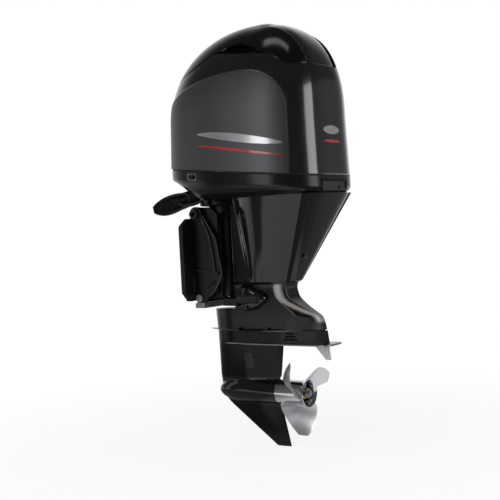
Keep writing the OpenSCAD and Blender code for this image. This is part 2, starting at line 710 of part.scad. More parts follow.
// gearcase
strut_hi = [[plate_z - 1, 34, 534, 48, 110, 250, 8], [joint_z, 34, 526, 50, 110, 240, 10]];
strut_lo = [[axis_z + 18, 38, hub_x - 6, 26, 110, 130, 6],
    [axis_z + torpedo_r + 3, 34, hub_x - 3, 29, 110, 140, 6],
    [axis_z + torpedo_r + 12, 33, hub_x + 7, 30, 110, 150, 6],
    [plate_z, 33, 331, 42, 110, 150, 6]];
skeg = [[skeg_z, 284, 347, 4, 20, 30, 1.5], [axis_z - torpedo_r - 14, 84, hub_x + 4, 7, 60, 120, 2.5],
    [axis_z - torpedo_r - 3, 70, hub_x - 3, 7.5, 60, 120, 2.5],
    [axis_z - torpedo_r + 10, 58, hub_x - 4, 8, 60, 120, 3]];
plate_pts = [[46, 8], [60, 26], [100, 44], [180, 56], [300, 62], [540, 62], [562, 48]];
nose_len = 118;
nose_x = 27;
module torpedo() {
    along_x(nose_x + nose_len, 0, axis_z, hub_x - gap - nose_x - nose_len, torpedo_r);
    translate([nose_x + nose_len, 0, axis_z]) rotate([0, -90, 0]) rotate_extrude()
        polygon(concat([[0, -2], [torpedo_r, -2]],
            [for (a = [0 : 10 : 80]) [torpedo_r * cos(a), nose_len * sin(a)]],
            [[0, nose_len]]));
}
vent_x = 388;
grille = [176, 211, -535, -478];
module gearcase() {
    color("#191a1c") difference() {
        union() {
            skin([for (s = strut_hi) foil(s)]);
            skin([for (s = strut_lo) foil(s)]);
            translate([0, 0, plate_z - plate_t / 2]) linear_extrude(plate_t) mirrored(plate_pts, 0);
            torpedo();
            skin([for (s = skeg) foil(s)]);
        }
        along_x(drive_x - 40, 0, axis_z, far, cavity_r);
        post(drive_x, 0, axis_z, far, drive_r + 6);
        post(drive_x, 0, axis_z, cone_r + 8, pinion_r + 5);
        post(shift_x, 0, axis_z - 10, far, shift_r + 1);
        box(drive_x + 50, 300, -10, 10, axis_z, far);
        both() box(grille[0], grille[1], 26, 80, grille[2], grille[3]);
        both() for (k = [0 : 2])
            box(vent_x - 25 + 5 * k, vent_x + 25 - 5 * k, 30, 60,
                plate_z + 14 + 11 * k, plate_z + 20 + 11 * k);
    }
}
module inlet_screens() {
    color("#2a2c2e") both() difference() {
        box(grille[0] + gap, grille[1] - gap, 26, 36, grille[2] + gap, grille[3] - gap);
        for (k = [0 : 4])
            box(grille[0] + 5, grille[1] - 5, 20, 50, grille[2] + 6 + 10 * k, grille[2] + 11 + 10 * k);
    }
}
tab_z = plate_z - plate_t / 2;
module trim_tab() {
    color("#a3a7a9") {
        side_plate([[473, tab_z], [533, tab_z], [538, tab_z - 54], [522, tab_z - 54]], -5, 10);
    }
}
module bearing_carrier() {
    color("#74777b") difference() {
        along_x(carrier_x, 0, axis_z, hub_x - 2 - carrier_x, cavity_r - gap);
        along_x(carrier_x - 1, 0, axis_z, far, shaft_r + fit);
        for (a = [0 : 90 : 270])
            translate([0, 0, axis_z]) rotate([a, 0, 0]) along_x(carrier_x - 1, 0, 25, far, 9);
    }
}
module pump_housing() {
    color("#3a3c3f") difference() {
        post(drive_x, 0, joint_z + splash_t, pump_h, pump_r);
        post(drive_x, 0, 0 - far, 2 * far, drive_r + 3);
        post(drive_x, 0, joint_z + splash_t + 8, 28, pump_r - 8);
    }
}
module pump_impeller() {
    color("#1c1c1d") translate([drive_x, 0, joint_z + splash_t + 10]) difference() {
        union() {
            cylinder(h = 24, r = 18);
            for (a = [0 : 60 : 300])
                rotate(a) box(14, pump_r - 9, -2, 2, 0, 24);
        }
        post(0, 0, -1, 40, drive_r);
    }
}

// gear train
add = 0.75 * gear_m;
ded = 1.0 * gear_m;
// bevel tooth across the local x axis of a cone of half angle d
module tooth(d, far_r, near_r) {
    g = [sin(d), 0, cos(d)];
    h = [cos(d), 0, -sin(d)];
    t = [0, 1, 0];
    function sect(r) = let (k = r / far_r) [r * g - 1.3 * ded * k * h - 0.46 * gear_m * 1.55 * k * t,
        r * g + add * k * h - 0.30 * gear_m * k * t, r * g + add * k * h + 0.30 * gear_m * k * t,
        r * g - 1.3 * ded * k * h + 0.46 * gear_m * 1.55 * k * t];
    p = concat(sect(near_r), sect(far_r));
    polyhedron(p, [[0, 1, 2, 3], [7, 6, 5, 4], [0, 4, 5, 1], [1, 5, 6, 2], [2, 6, 7, 3], [3, 7, 4, 0]]);
}
module bevel(n, d, bore, back, hub, shift) {
    near_r = cone_r - face_w;
    root = function (r) [r * sin(d) - ded * r / cone_r * cos(d), r * cos(d) + ded * r / cone_r * sin(d)];
    a = root(near_r);
    b = root(cone_r);
    difference() {
        union() {
            rotate_extrude()
                polygon([[0, a[1]], a, b, [b[0], b[1] + 3], [hub, b[1] + 6], [hub, back], [0, back]]);
            for (i = [0 : n - 1])
                rotate((i + shift) * 360 / n) tooth(d, cone_r, near_r);
        }
        translate([0, 0, -1]) cylinder(h = far, r = bore);
    }
}
gear_d = atan(gear_teeth / pinion_teeth);
pinion_d = 90 - gear_d;
gear_back = 31;
module pinion() {
    color("#9a9da1") translate([drive_x, 0, axis_z])
        bevel(pinion_teeth, pinion_d, drive_r, cone_r + 6, drive_r + 3, 0);
}
module forward_gear() {
    color("#9a9da1") translate([drive_x, 0, axis_z]) rotate([0, -90, 0])
        bevel(gear_teeth, gear_d, shaft_r + fit, gear_back, 23, 0);
}
module reverse_gear() {
    color("#9a9da1") translate([drive_x, 0, axis_z]) rotate([0, 90, 0])
        bevel(gear_teeth, gear_d, shaft_r + fit, gear_back, 23, 0.5);
}
dog_half = 6;
module clutch_dog() {
    color("#8a8d91") difference() {
        along_x(drive_x - dog_half, 0, axis_z, 2 * dog_half, shaft_r + 6);
        along_x(0, 0, axis_z, far, shaft_r + fit);
    }
}
shift_low = axis_z - 8;
module shift_rod() {
    color("#b5b8bb") {
        post(shift_x, 0, shift_low, case_top + 13 - shift_low, shift_r);
        box(shift_x - 26, shift_x, -4, 4, case_top + 5, case_top + 13);
    }
}
module drive_shaft() {
    low = axis_z + cone_r - 12;
    color("#a6a9ad") post(drive_x, 0, low, deck_z + spline_len - low, drive_r);
}
module prop_shaft() {
    color("#c0c3c6") along_x(drive_x - gear_back, 0, axis_z, prop_nut_x + 26 - drive_x + gear_back, shaft_r);
}

// propeller
blade_n = 9;
blade_root = 70;
blade_rake = 34;
blade_hook = 16;
blade_skew = 16;
function blade_pt(k, c, off) = let (r = mix(torpedo_r - 6, prop_r, k),
        w = 64 * pow(sin(mix(38, 172, pow(k, 0.8))), 0.7) + 6, q = mix(-w, w, c),
        pitch = atan(prop_pitch / (2 * PI * r)), a = q * cos(pitch) / r * 180 / PI + blade_skew * k * k,
        x = hub_x + blade_root + blade_rake * k + blade_hook * k * k - q * sin(pitch),
        h = off * (1 - pow(2 * c - 1, 2)) * mix(6, 2, k) + off * 0.8)
    [x + h * cos(pitch), r * sin(a) + h * sin(pitch) * cos(a), r * cos(a) - h * sin(pitch) * sin(a)];
function blade_ring(k) = concat([for (i = [0 : blade_n]) blade_pt(k, i / blade_n, 1)],
    [for (i = [blade_n : -1 : 0]) blade_pt(k, i / blade_n, -1)]);
module propeller() {
    color("#d4d7da") translate([0, 0, axis_z]) {
        difference() {
            union() {
                translate([hub_x + gap, 0, 0]) rotate([0, 90, 0]) rotate_extrude()
                    polygon([[torpedo_r - 6, 0], [torpedo_r, 0], [torpedo_r, hub_len - 14],
                        [torpedo_r + 5, hub_len], [torpedo_r + 1, hub_len], [torpedo_r - 6, hub_len - 16]]);
                along_x(hub_x + 20, 0, 0, hub_len - 50, 24);
                for (a = [60 : 120 : 300])
                    rotate([a, 0, 0]) box(hub_x + 24, hub_x + hub_len - 40, -4, 4, 20, torpedo_r - 5);
                for (a = [60 : 120 : 300])
                    rotate([a, 0, 0]) skin([for (k = [0 : 0.125 : 1]) blade_ring(k)]);
            }
            along_x(hub_x - 1, 0, 0, far, shaft_r);
        }
    }
}
module thrust_washer() {
    color("#b98f45") difference() {
        along_x(hub_x + hub_len - 30, 0, axis_z, 7, 22);
        along_x(0, 0, axis_z, 2 * far, shaft_r);
    }
}
module prop_nut() {
    color("#d0d2d4") difference() {
        translate([prop_nut_x - 1, 0, axis_z]) rotate([0, 90, 0]) cylinder(h = 16, r = shaft_r + 8, $fn = 6);
        along_x(0, 0, axis_z, 2 * far, shaft_r);
    }
}

// engine
cylinders = 4;
block_y = 95;
block_rear = drive_x + 170;
head_t = 70;
head_half = 90;
cover_t = 56;
cover_half = 74;
bore_r = 39;
journal_r = 24;
crankpin_r = 22;
crankpin_w = 48;
cheek_w = 10;
end_wall = 14;
fin_h = 6;
fin_t = 8;
plug_r = 17;
plug_len = 22;
plenum_w = 44;
plenum_len = 160;
runner_h = 40;
runner_w = 48;
throttle_r = 28;
starter_r = 34;
starter_len = 150;
filter_r = 36;
filter_len = 86;
rim_t = 14;
fly_h = 34;
boss_r = 60;
function bore_z(k) = deck_z + (block_h - cylinders * bore_pitch) / 2 + bore_pitch * (k + 0.5);
module cylinder_block() {
    color("#3b3e42") difference() {
        union() {
            box(drive_x + gap, block_rear, -block_y, block_y, deck_z, block_top);
            both() for (k = [0 : cylinders - 1])
                box(drive_x + 20, block_rear - 10, block_y - eps, block_y + fin_h,
                    bore_z(k) - bore_r, bore_z(k) - bore_r + fin_t);
        }
        post(drive_x, 0, deck_z + end_wall, block_h - 2 * end_wall, crank_gap);
        post(drive_x, 0, 0, 2 * far, journal_r + fit);
        for (k = [0 : cylinders - 1])
            along_x(drive_x, 0, bore_z(k), far, bore_r);
    }
}
module crankcase() {
    color("#33363a") difference() {
        intersection() {
            post(drive_x, 0, deck_z, block_h, crank_gap + end_wall);
            box(-far, drive_x, -far, far, 0, 2 * far);
        }
        post(drive_x, 0, deck_z + end_wall, block_h - 2 * end_wall, crank_gap);
        post(drive_x, 0, 0, 2 * far, journal_r + fit);
    }
}
module crankshaft() {
    color("#a2a5a9") difference() {
        union() {
            post(drive_x, 0, deck_z + 4, block_h + 60, journal_r);
            for (k = [0 : cylinders - 1]) {
                s = (k == 0 || k == cylinders - 1) ? 1 : -1;
                post(drive_x + s * throw_r, 0, bore_z(k) - crankpin_w / 2, crankpin_w, crankpin_r);
                for (e = [-crankpin_w / 2, crankpin_w / 2 - cheek_w])
                    post(drive_x, 0, bore_z(k) + e, cheek_w, crank_gap - 5);
            }
        }
        post(drive_x, 0, 0, deck_z + spline_len + 4, drive_r);
    }
}
fly_z = block_top + 12;
module flywheel() {
    color("#55585c") difference() {
        union() {
            post(drive_x, 0, fly_z, fly_h, fly_r);
            post(drive_x, 0, fly_z + fly_h, 6, boss_r);
        }
        post(drive_x, 0, 0, 2 * far, journal_r);
        post(drive_x, 0, fly_z - 1, fly_h - 12, fly_r - rim_t);
    }
}
module cylinder_head() {
    color("#484b4f") {
        box(block_rear, block_rear + head_t, -head_half, head_half, deck_z + 4, block_top - 4);
        box(block_rear + head_t, block_rear + head_t + cover_t, -cover_half, cover_half,
            deck_z + end_wall, block_top - end_wall);
        for (k = [0 : cylinders - 1])
            along_x(block_rear + head_t + cover_t, 0, bore_z(k), plug_len, plug_r);
    }
}
plenum_y = block_y + 27;
plenum_x = drive_x - 20;
runner_x = block_rear + head_t - 10;
module intake_manifold() {
    color("#232527") {
        box(plenum_x, plenum_x + plenum_len, plenum_y, plenum_y + plenum_w, deck_z + 40, block_top - 30);
        for (k = [0 : cylinders - 1])
            box(plenum_x + plenum_len - 1, runner_x, plenum_y - 4, plenum_y + plenum_w - 4,
                bore_z(k) - runner_h / 2 - 4, bore_z(k) + runner_h / 2 - 4);
        for (k = [0 : cylinders - 1])
            box(runner_x - runner_w, runner_x, head_half, plenum_y - 3,
                bore_z(k) - runner_h / 2 - 4, bore_z(k) + runner_h / 2 - 4);
        along_x(plenum_x - 60, plenum_y + plenum_w / 2, deck_z + block_h / 2, 61, throttle_r);
    }
}
starter_x = drive_x + 60;
starter_z = deck_z + 190;
module starter_motor() {
    color("#1e1f21") {
        post(starter_x, -block_y - starter_r - 9, starter_z, starter_len, starter_r);
        box(starter_x - 18, starter_x + 18, -block_y - 20, -block_y - fin_h, starter_z + 30, starter_z + 110);
    }
}
filter_x = drive_x + 110;
filter_z = deck_z + 66;
module oil_filter() {
    color("#c9cccf") {
        along_y(filter_x, -block_y - fin_h - filter_len, filter_z, filter_len, filter_r);
        along_y(filter_x, -block_y - fin_h - 1, filter_z, fin_h + 1, filter_r / 2);
    }
}
module gearcase_screws() {
    color("#b4b7ba") both() for (x = [drive_x - 20, drive_x + 110])
        translate([x, leg_half + 5, joint_z + splash_t]) cylinder(h = 7, r = 7, $fn = 6);
}

clamp_bracket_port();
clamp_bracket_starboard();
tilt_tube();
tilt_tube_nuts();
ptt_pin();
bracket_anode();
swivel_bracket();
swivel_bushes();
ptt_cylinder();
ptt_motor();
ptt_reservoir();
tilt_rod();
tilt_rod_pin();
pilot_shaft();
steering_yoke();
lower_yoke();
upper_mounts();
lower_mounts();
lower_mount_covers();
lower_mount_bolts();
upper_case();
exhaust_guide();
apron_port();
apron_starboard();
apron_rear();
telltale();
tray();
cowl_seal();
top_cowl();
cowl_cap();
cowl_latch();
tilt_switch();
rigging_sleeve();
rigging_cable();
splash_plate();
gearcase();
inlet_screens();
trim_tab();
bearing_carrier();
pump_housing();
pump_impeller();
drive_shaft();
pinion();
forward_gear();
reverse_gear();
clutch_dog();
shift_rod();
prop_shaft();
propeller();
thrust_washer();
prop_nut();
cylinder_block();
crankcase();
crankshaft();
flywheel();
cylinder_head();
intake_manifold();
starter_motor();
oil_filter();
gearcase_screws();
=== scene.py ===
# %% [markdown]
# # An outboard motor, dressed on its CAD frame
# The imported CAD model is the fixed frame: its nodes give every size and every
# moving body. This lesson lays finer surfaces over the big painted forms, gives
# each node its finish, and sets a plain white studio around the motor.
# Lengths in the formulas are millimetres, as on a drawing; the mesh helper
# turns them into metres at the last moment.

# %% Load the frame
import json
import bpy
import numpy as np
from mathutils import Matrix


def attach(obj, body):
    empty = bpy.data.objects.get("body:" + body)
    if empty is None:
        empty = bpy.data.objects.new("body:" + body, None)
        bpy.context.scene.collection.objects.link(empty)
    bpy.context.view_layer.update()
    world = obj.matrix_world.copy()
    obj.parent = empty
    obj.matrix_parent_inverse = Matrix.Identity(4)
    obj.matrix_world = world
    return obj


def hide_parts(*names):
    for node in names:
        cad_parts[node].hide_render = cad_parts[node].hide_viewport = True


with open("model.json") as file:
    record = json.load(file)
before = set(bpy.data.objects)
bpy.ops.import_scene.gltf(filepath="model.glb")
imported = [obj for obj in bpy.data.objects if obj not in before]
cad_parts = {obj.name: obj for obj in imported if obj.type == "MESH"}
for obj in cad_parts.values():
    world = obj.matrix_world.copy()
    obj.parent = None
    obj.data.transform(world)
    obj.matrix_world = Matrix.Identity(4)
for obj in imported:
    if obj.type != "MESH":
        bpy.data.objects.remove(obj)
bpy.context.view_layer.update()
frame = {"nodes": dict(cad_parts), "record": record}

# %% [markdown]
# ## The camera
# The motor is seen from the port quarter, level with its middle and a little
# rolled. Four numbers settle such a view: the azimuth and elevation of the eye,
# its distance, and one known point with the pixel it falls on.

# %% Camera
MM = 0.001


def placed(x, y, z, place):
    """Matrix whose columns are the axes x, y, z and a place in millimetres."""
    matrix = np.eye(4)
    matrix[:3] = np.stack([x, y, z, np.asarray(place) * MM], axis=1)
    return Matrix(matrix.tolist())


AZ, EL, ROLL = np.radians(36.0), np.radians(1.3), np.radians(-3.0)
FOCAL_PX, FRAME_PX, DISTANCE = 1026.0, 500.0, 3900.0
TARGET, TARGET_PX = np.array([260.0, 0.0, -34.0]), np.array([262.0, 236.0])
back = np.array([np.sin(AZ) * np.cos(EL), -np.cos(AZ) * np.cos(EL), np.sin(EL)])
level = np.cross(-back, [0, 0, 1.0])
level /= np.linalg.norm(level)
upright = np.cross(level, -back)
right = level * np.cos(ROLL) + upright * np.sin(ROLL)
up = -level * np.sin(ROLL) + upright * np.cos(ROLL)
shift = (TARGET_PX - FRAME_PX / 2) / FOCAL_PX * DISTANCE
eye = TARGET - (right * shift[0] - up * shift[1] - back * DISTANCE)
camera = bpy.data.objects.new("camera", bpy.data.cameras.new("camera"))
camera.data.sensor_width = 36.0
camera.data.lens = FOCAL_PX / FRAME_PX * camera.data.sensor_width
camera.data.clip_end = 100.0
camera.matrix_world = placed(right, up, back, eye)
bpy.context.scene.collection.objects.link(camera)
bpy.context.scene.camera = camera
print("camera at", np.round(eye), "lens", round(camera.data.lens, 2))

# %% [markdown]
# ## From arrays to meshes
# Every new piece is a grid of points: rows run along one parameter, columns
# along the other. Two neighbouring rows and two neighbouring columns make one
# four-sided face. A grid may close on itself round its columns, and a pole
# point or a strip of faces closes an end. Working on whole arrays keeps the
# formula of a shape in one place, and foreach_set hands it to Blender at once.

# %% Mesh helpers
CREASE = 32.0
SIDES = ((-1, "port"), (1, "starboard"))
PIECE_FINISH = {}


def mesh_piece(name, points, faces, body, slot, crease=CREASE):
    """Object from points in millimetres and a list of (n, k) arrays of corners."""
    mesh = bpy.data.meshes.new(name)
    corners = np.concatenate([f.ravel() for f in faces]).astype(np.int32)
    sizes = np.concatenate([np.full(len(f), f.shape[1]) for f in faces])
    starts = np.concatenate([[0], np.cumsum(sizes)[:-1]]).astype(np.int32)
    mesh.vertices.add(len(points))
    mesh.vertices.foreach_set("co", (np.asarray(points) * MM).astype(np.float32).ravel())
    mesh.loops.add(len(corners))
    mesh.loops.foreach_set("vertex_index", corners)
    mesh.polygons.add(len(sizes))
    mesh.polygons.foreach_set("loop_start", starts)
    mesh.polygons.foreach_set("use_smooth", np.ones(len(sizes), dtype=bool))
    mesh.update(calc_edges=True)
    mesh.validate()
    mesh.set_sharp_from_angle(angle=np.radians(crease))
    piece = bpy.data.objects.new(name, mesh)
    bpy.context.scene.collection.objects.link(piece)
    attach(piece, body)
    PIECE_FINISH[name] = slot
    print(name, len(points), "points", len(sizes), "faces")
    return piece


def grid_faces(rows, cols, close_rows=False, close_cols=False, first=0):
    """Quads between neighbouring rows and columns of a grid stored row by row."""
    i = np.arange(rows if close_rows else rows - 1)[:, None]
    j = np.arange(cols if close_cols else cols - 1)[None, :]
    k, n = (i + 1) % rows, (j + 1) % cols
    quads = np.stack([i * cols + j, i * cols + n, k * cols + n, k * cols + j], axis=-1)
    return first + quads.reshape(-1, 4)


def fan_faces(ring, pole, outward=True):
    """Triangles from a closed ring of corners to one pole."""
    fan = np.stack([ring, np.roll(ring, -1), np.full_like(ring, pole)], axis=-1)
    return fan if outward else fan[:, ::-1]


def strip_faces(ring, upper=True):
    """Quads across a ring whose corner j faces corner n - 1 - j."""
    half = len(ring) // 2
    near, far = ring[:half], ring[::-1][:half]
    quads = np.stack([near[:-1], near[1:], far[1:], far[:-1]], axis=-1)
    return quads if upper else quads[:, ::-1]


def skin_piece(name, rings, body, slot, crease=CREASE):
    """Closed skin over rings (rows, columns, 3), each end closed across its ring."""
    rows, cols = rings.shape[:2]
    ring = np.arange(cols)
    faces = [grid_faces(rows, cols, close_cols=True), strip_faces(ring, False),
             strip_faces(ring + (rows - 1) * cols)]
    return mesh_piece(name, rings.reshape(-1, 3), faces, body, slot, crease)


def bowl_piece(name, rings, first, last, body, slot, crease=CREASE):
    """Closed skin over rings with one pole at each end."""
    rows, cols = rings.shape[:2]
    points = np.concatenate([rings.reshape(-1, 3), [first, last]])
    ring = np.arange(cols)
    faces = [grid_faces(rows, cols, close_cols=True), fan_faces(ring, rows * cols, False),
             fan_faces(ring + (rows - 1) * cols, rows * cols + 1)]
    return mesh_piece(name, points, faces, body, slot, crease)


def ring_piece(name, rings, body, slot, crease=CREASE):
    """Skin over rings that also closes from the last ring to the first."""
    faces = [grid_faces(*rings.shape[:2], close_rows=True, close_cols=True)]
    return mesh_piece(name, rings.reshape(-1, 3), faces, body, slot, crease)


def mark(piece, name, values):
    """Store one value per point as a vertex attribute that a material can read."""
    attribute = piece.data.attributes.new(name, "FLOAT", "POINT")
    attribute.data.foreach_set("value", np.asarray(values, np.float32).ravel())


# %% [markdown]
# A few small formulas come back in many shapes: an eased step, a straight blend,
# a smooth curve through knots, points round a circle and points that gather at
# both ends of a line.

# %% Formulas


def ease(t):
    """Smooth step: 3t^2 - 2t^3 on 0..1."""
    c = np.clip(t, 0.0, 1.0)
    return c * c * (3 - 2 * c)


def mix(a, b, t):
    """Straight blend from a to b."""
    return a + (b - a) * t


def gathered(count):
    """Row of numbers 0..1 that lie closer together at both ends: (1 - cos(pi k)) / 2."""
    return (1 - np.cos(np.pi * np.linspace(0, 1, count)))[None, :] / 2


def turn(sides):
    """Angles of points evenly spaced round a full turn."""
    return np.arange(sides) * 2 * np.pi / sides


def blunt(v, power):
    """v with its size raised to a power: it turns a circle into a rounded box."""
    return np.sign(v) * np.abs(v) ** power


def unit(v):
    """Vectors of length 1."""
    return v / np.linalg.norm(v, axis=-1, keepdims=True)


def path_length(path):
    """Length along a row of points."""
    return np.linalg.norm(np.diff(path, axis=0), axis=1).sum()


def smooth_path(knots, count):
    """Catmull-Rom curve through the knots, as count points evenly spaced in parameter."""
    knots = np.asarray(knots, float)
    padded = np.concatenate([[2 * knots[0] - knots[1]], knots, [2 * knots[-1] - knots[-2]]])
    s = np.linspace(0, len(knots) - 1, count)
    i = np.minimum(s.astype(int), len(knots) - 2)
    t = (s - i)[:, None]
    a, b, c, d = padded[i], padded[i + 1], padded[i + 2], padded[i + 3]
    bend = (2 * a - 5 * b + 4 * c - d) * t ** 2 + (3 * b - a - 3 * c + d) * t ** 3
    return 0.5 * (2 * b + (c - a) * t + bend)


def tube_rings(path, radii, sides):
    """Rings of the given radii square to a path, counterclockwise seen from its far end."""
    along = unit(np.gradient(path, axis=0))
    a = unit(np.cross(along, [0, 1.0, 0]))
    b = np.cross(along, a)
    q = turn(sides)[None, :, None]
    spokes = np.cos(q) * a[:, None] + np.sin(q) * b[:, None]
    return path[:, None] + np.broadcast_to(radii, len(path))[:, None, None] * spokes


def tube_piece(name, path, radii, sides, body, slot):
    """Closed tube along a path."""
    return bowl_piece(name, tube_rings(path, radii, sides), path[0], path[-1], body, slot)


def turned_rings(profile, axis_z, sides):
    """Rings of a profile of (x, radius) turned about the line y = 0, z = axis_z."""
    q = turn(sides)
    x = np.repeat(profile[:, :1], sides, axis=1)
    return np.stack([x, profile[:, 1:] * np.cos(q), axis_z + profile[:, 1:] * np.sin(q)], axis=-1)


def both_flanks(x, half, z):
    """Closed rings from half widths: along the port side, then back along the starboard side."""
    z = z + 0 * x
    port, starboard = np.stack([x, -half, z], axis=-1), np.stack([x, half, z], axis=-1)
    return np.concatenate([port, starboard[:, ::-1]], axis=1)


def mirrored(rings):
    """The same rings on the other side, with their columns turned round to face outward."""
    return (rings * [1, -1, 1])[:, ::-1]


print("eased quarter:", ease(0.25), "gathered:", gathered(5).round(3))

# %% [markdown]
# ## The cable under the tray
# One thin control cable leaves the tray through a boss, dips under its own
# weight and turns into the mouth of the rubber sleeve. It is short, so one tube
# on a smooth path does for it, with both ends in the object.

# %% Rigging cable
CABLE_KNOTS = [[62, -100, 146], [62, -100, 126], [54, -104, 112], [34, -114, 102], [4, -122, 98],
               [-24, -122, 102], [-44, -115, 109], [-58, -107, 113]]
CABLE_R = 6.0
cable_path = smooth_path(CABLE_KNOTS, 36)
rigging_cable = tube_piece("rigging_cable_fine", cable_path, CABLE_R, 20, "engine", "rubber")
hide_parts("rigging_cable")

# %% [markdown]
# ## The cowl
# The real cowl is one moulded shell. Its plan is a superellipse, round at the
# bow and nearly flat at the stern, with a narrow slanted facet at each rear
# corner. Its wall rises almost upright to a shoulder and then closes in a dome.
# A surface of two parameters suits it: the azimuth, and a height that is 0 at
# the seam, 1 at the shoulder and 2 at the crown.

# %% Cowl surface
COWL_MID, COWL_FRONT, COWL_REAR, COWL_HALF = 315.0, -118.0, 596.0, 235.0
COWL_TOP, SHOULDER, SEAM_Z, SEAM_SLOPE = 755.0, 400.0, 235.0, -0.101
DRAFT, WALL, CAP_T, CAP_ROOM, GAP = 7.0, 5.0, 4.0, 3.0, 0.3
REAR_LEN, FRONT_LEN = COWL_REAR - COWL_MID, COWL_MID - COWL_FRONT
FACET_AFT, FACET_OUT, FACET_SET, SOFT_POWER = 0.9, 0.435, 47.0, 40.0
STERN_POWER, BOW_POWER = 2.9, 2.1
COLS = 288
AZIMUTH = turn(COLS)


def oval(u, a, b, e):
    """Superellipse radius: (|cos u / a|^e + |sin u / b|^e)^(-1/e)."""
    return (np.abs(np.cos(u) / a) ** e + np.abs(np.sin(u) / b) ** e) ** (-1 / e)


def plan_radius(u):
    """Bow superellipse, or the soft minimum of the stern one, its facet and its flat."""
    c, s = np.cos(u), np.abs(np.sin(u))
    facet = (REAR_LEN * FACET_AFT + FACET_SET) / np.maximum(FACET_AFT * c + FACET_OUT * s, 0.01)
    flat = REAR_LEN / np.maximum(c, 0.01)
    stern = oval(u, REAR_LEN * 1.05, COWL_HALF, STERN_POWER)
    soft = (stern ** -SOFT_POWER + facet ** -SOFT_POWER + flat ** -SOFT_POWER) ** (-1 / SOFT_POWER)
    return np.where(c > 0, soft, oval(u, FRONT_LEN, COWL_HALF, BOW_POWER))


def seam_height(x):
    """The seam plane falls gently aft."""
    return SEAM_Z + SEAM_SLOPE * x


def dome_power(u):
    """Exponent of the dome's meridian: rounder at bow and sides, squarer aft."""
    return 2.1 + 0.6 * np.maximum(0, np.cos(u)) ** 3


def cowl_point(u, t, off=0.0):
    """Point at azimuth u and height t, set out by off along the plan radius."""
    a = np.maximum(0, t - 1) * np.pi / 2
    e = 2 / dome_power(u)
    r = (plan_radius(u) + off - DRAFT * np.minimum(1, t)) * np.maximum(0, np.cos(a)) ** e
    x, y = COWL_MID + r * np.cos(u), r * np.sin(u)
    dome = SHOULDER + (COWL_TOP - SHOULDER + off) * np.maximum(0, np.sin(a)) ** e
    z = np.where(t <= 1, mix(seam_height(x), SHOULDER, t), dome)
    return np.stack(np.broadcast_arrays(x, y, z), axis=-1)


def height_at(u, z):
    """Height parameter at which the dome reaches z."""
    k = np.clip((z - SHOULDER) / (COWL_TOP - SHOULDER), 0, 1)
    return 1 + np.arcsin(k ** (dome_power(u) / 2)) / (np.pi / 2)


def rounded(curve, width=5):
    """Running mean round a closed outline, which softens its corners."""
    ring = np.concatenate([curve[-width:], curve, curve[:width]])
    return np.convolve(ring, np.ones(width) / width, "same")[width:-width]


print("cowl plan aft and fore", plan_radius(np.array([0.0, np.pi])).round())

# %% [markdown]
# The cap over the dome has a lower edge that climbs over the air inlets. Its
# height is listed by the angle from the stern, because both sides are alike.

# %% Cap edge
CAP_EDGE = np.array([[0, 570], [40, 571], [52, 612], [110, 640], [125, 646], [150, 590], [180, 520]], float)
CAP_LIFT = np.array([[52, 0], [60, 18], [85, 40], [108, 28], [124, 0]], float)
stern_angle = np.degrees(np.minimum(AZIMUTH, 2 * np.pi - AZIMUTH))
edge_z = rounded(np.interp(stern_angle, CAP_EDGE[:, 0], CAP_EDGE[:, 1]))
lift_z = rounded(np.interp(stern_angle, CAP_LIFT[:, 0], CAP_LIFT[:, 1], left=0, right=0), 9)
EDGE_T = height_at(AZIMUTH, edge_z)
CROWN = 1.96
print("cap edge from", round(edge_z.min()), "to", round(edge_z.max()), "mm")

# %% [markdown]
# Each flank carries a raised panel: a low arch over the flank with an upright
# rear edge. It is a soft plateau a few millimetres proud, made by adding an
# eased step to the offset of the surface.

# %% Cowl shell
PANEL_RISE, PANEL_SOFT, PANEL_EDGE = 4.0, 10.0, 3.0
PANEL_TOP, PANEL_LOW, PANEL_MID, PANEL_REAR, PANEL_POWER = 567.0, 372.0, 330.0, 530.0, 2.4


def panel_share(p, soft):
    """1 inside the arch and 0 outside, eased over the distance soft to its top and rear edges."""
    x, y, z = p[..., 0], p[..., 1], p[..., 2]
    fore = PANEL_TOP - 29 * ((PANEL_MID - x) / 248) ** 2
    round_aft = 1 - np.clip((x - PANEL_MID) / 205, 0, 1) ** PANEL_POWER
    aft = mix(PANEL_LOW, PANEL_TOP, np.maximum(0, round_aft) ** (1 / PANEL_POWER))
    inside = np.minimum(np.where(x < PANEL_MID, fore, aft) - z, PANEL_REAR - x)
    return ease(inside / soft) * ease((np.abs(y) - 20) / 60)


def cowl_skin(t):
    """Outside of the cowl at height rows t, with the raised panels on it."""
    return cowl_point(AZIMUTH, t, PANEL_RISE * panel_share(cowl_point(AZIMUTH, t), PANEL_SOFT))


wall_t = np.linspace(0.01, 1, 44)[:, None] * np.ones(COLS)
dome_t = mix(1.0, EDGE_T[None, :], np.linspace(0, 1, 48)[1:, None])
under_k = np.linspace(0, 1, 20)[:, None]
under_off = -(CAP_T + CAP_ROOM) - (0.5 * lift_z + 16 * ease(lift_z / 12)) * (1 - under_k)
inner_t = np.linspace(1, 0, 12)[:, None] * np.ones(COLS)
shell = np.concatenate([
    cowl_point(AZIMUTH, inner_t, -WALL), cowl_point(AZIMUTH, np.zeros((1, COLS)), -1.0),
    cowl_skin(wall_t), cowl_skin(dome_t),
    cowl_point(AZIMUTH, mix(EDGE_T[None, :], CROWN, under_k), under_off)])
roof = cowl_point(AZIMUTH, np.ones((1, COLS)), -WALL).mean(axis=(0, 1))
crown = [COWL_MID, 0, COWL_TOP - CAP_T - CAP_ROOM]
cowl_shell = bowl_piece("cowl_shell", shell, roof, crown, "cowl", "cowl_paint")
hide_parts("top_cowl")
panel_mask = np.append(panel_share(shell, PANEL_EDGE), [0, 0])
mark(cowl_shell, "panel", panel_mask)
print("panel covers", round(100 * panel_mask.mean()), "% of the points")

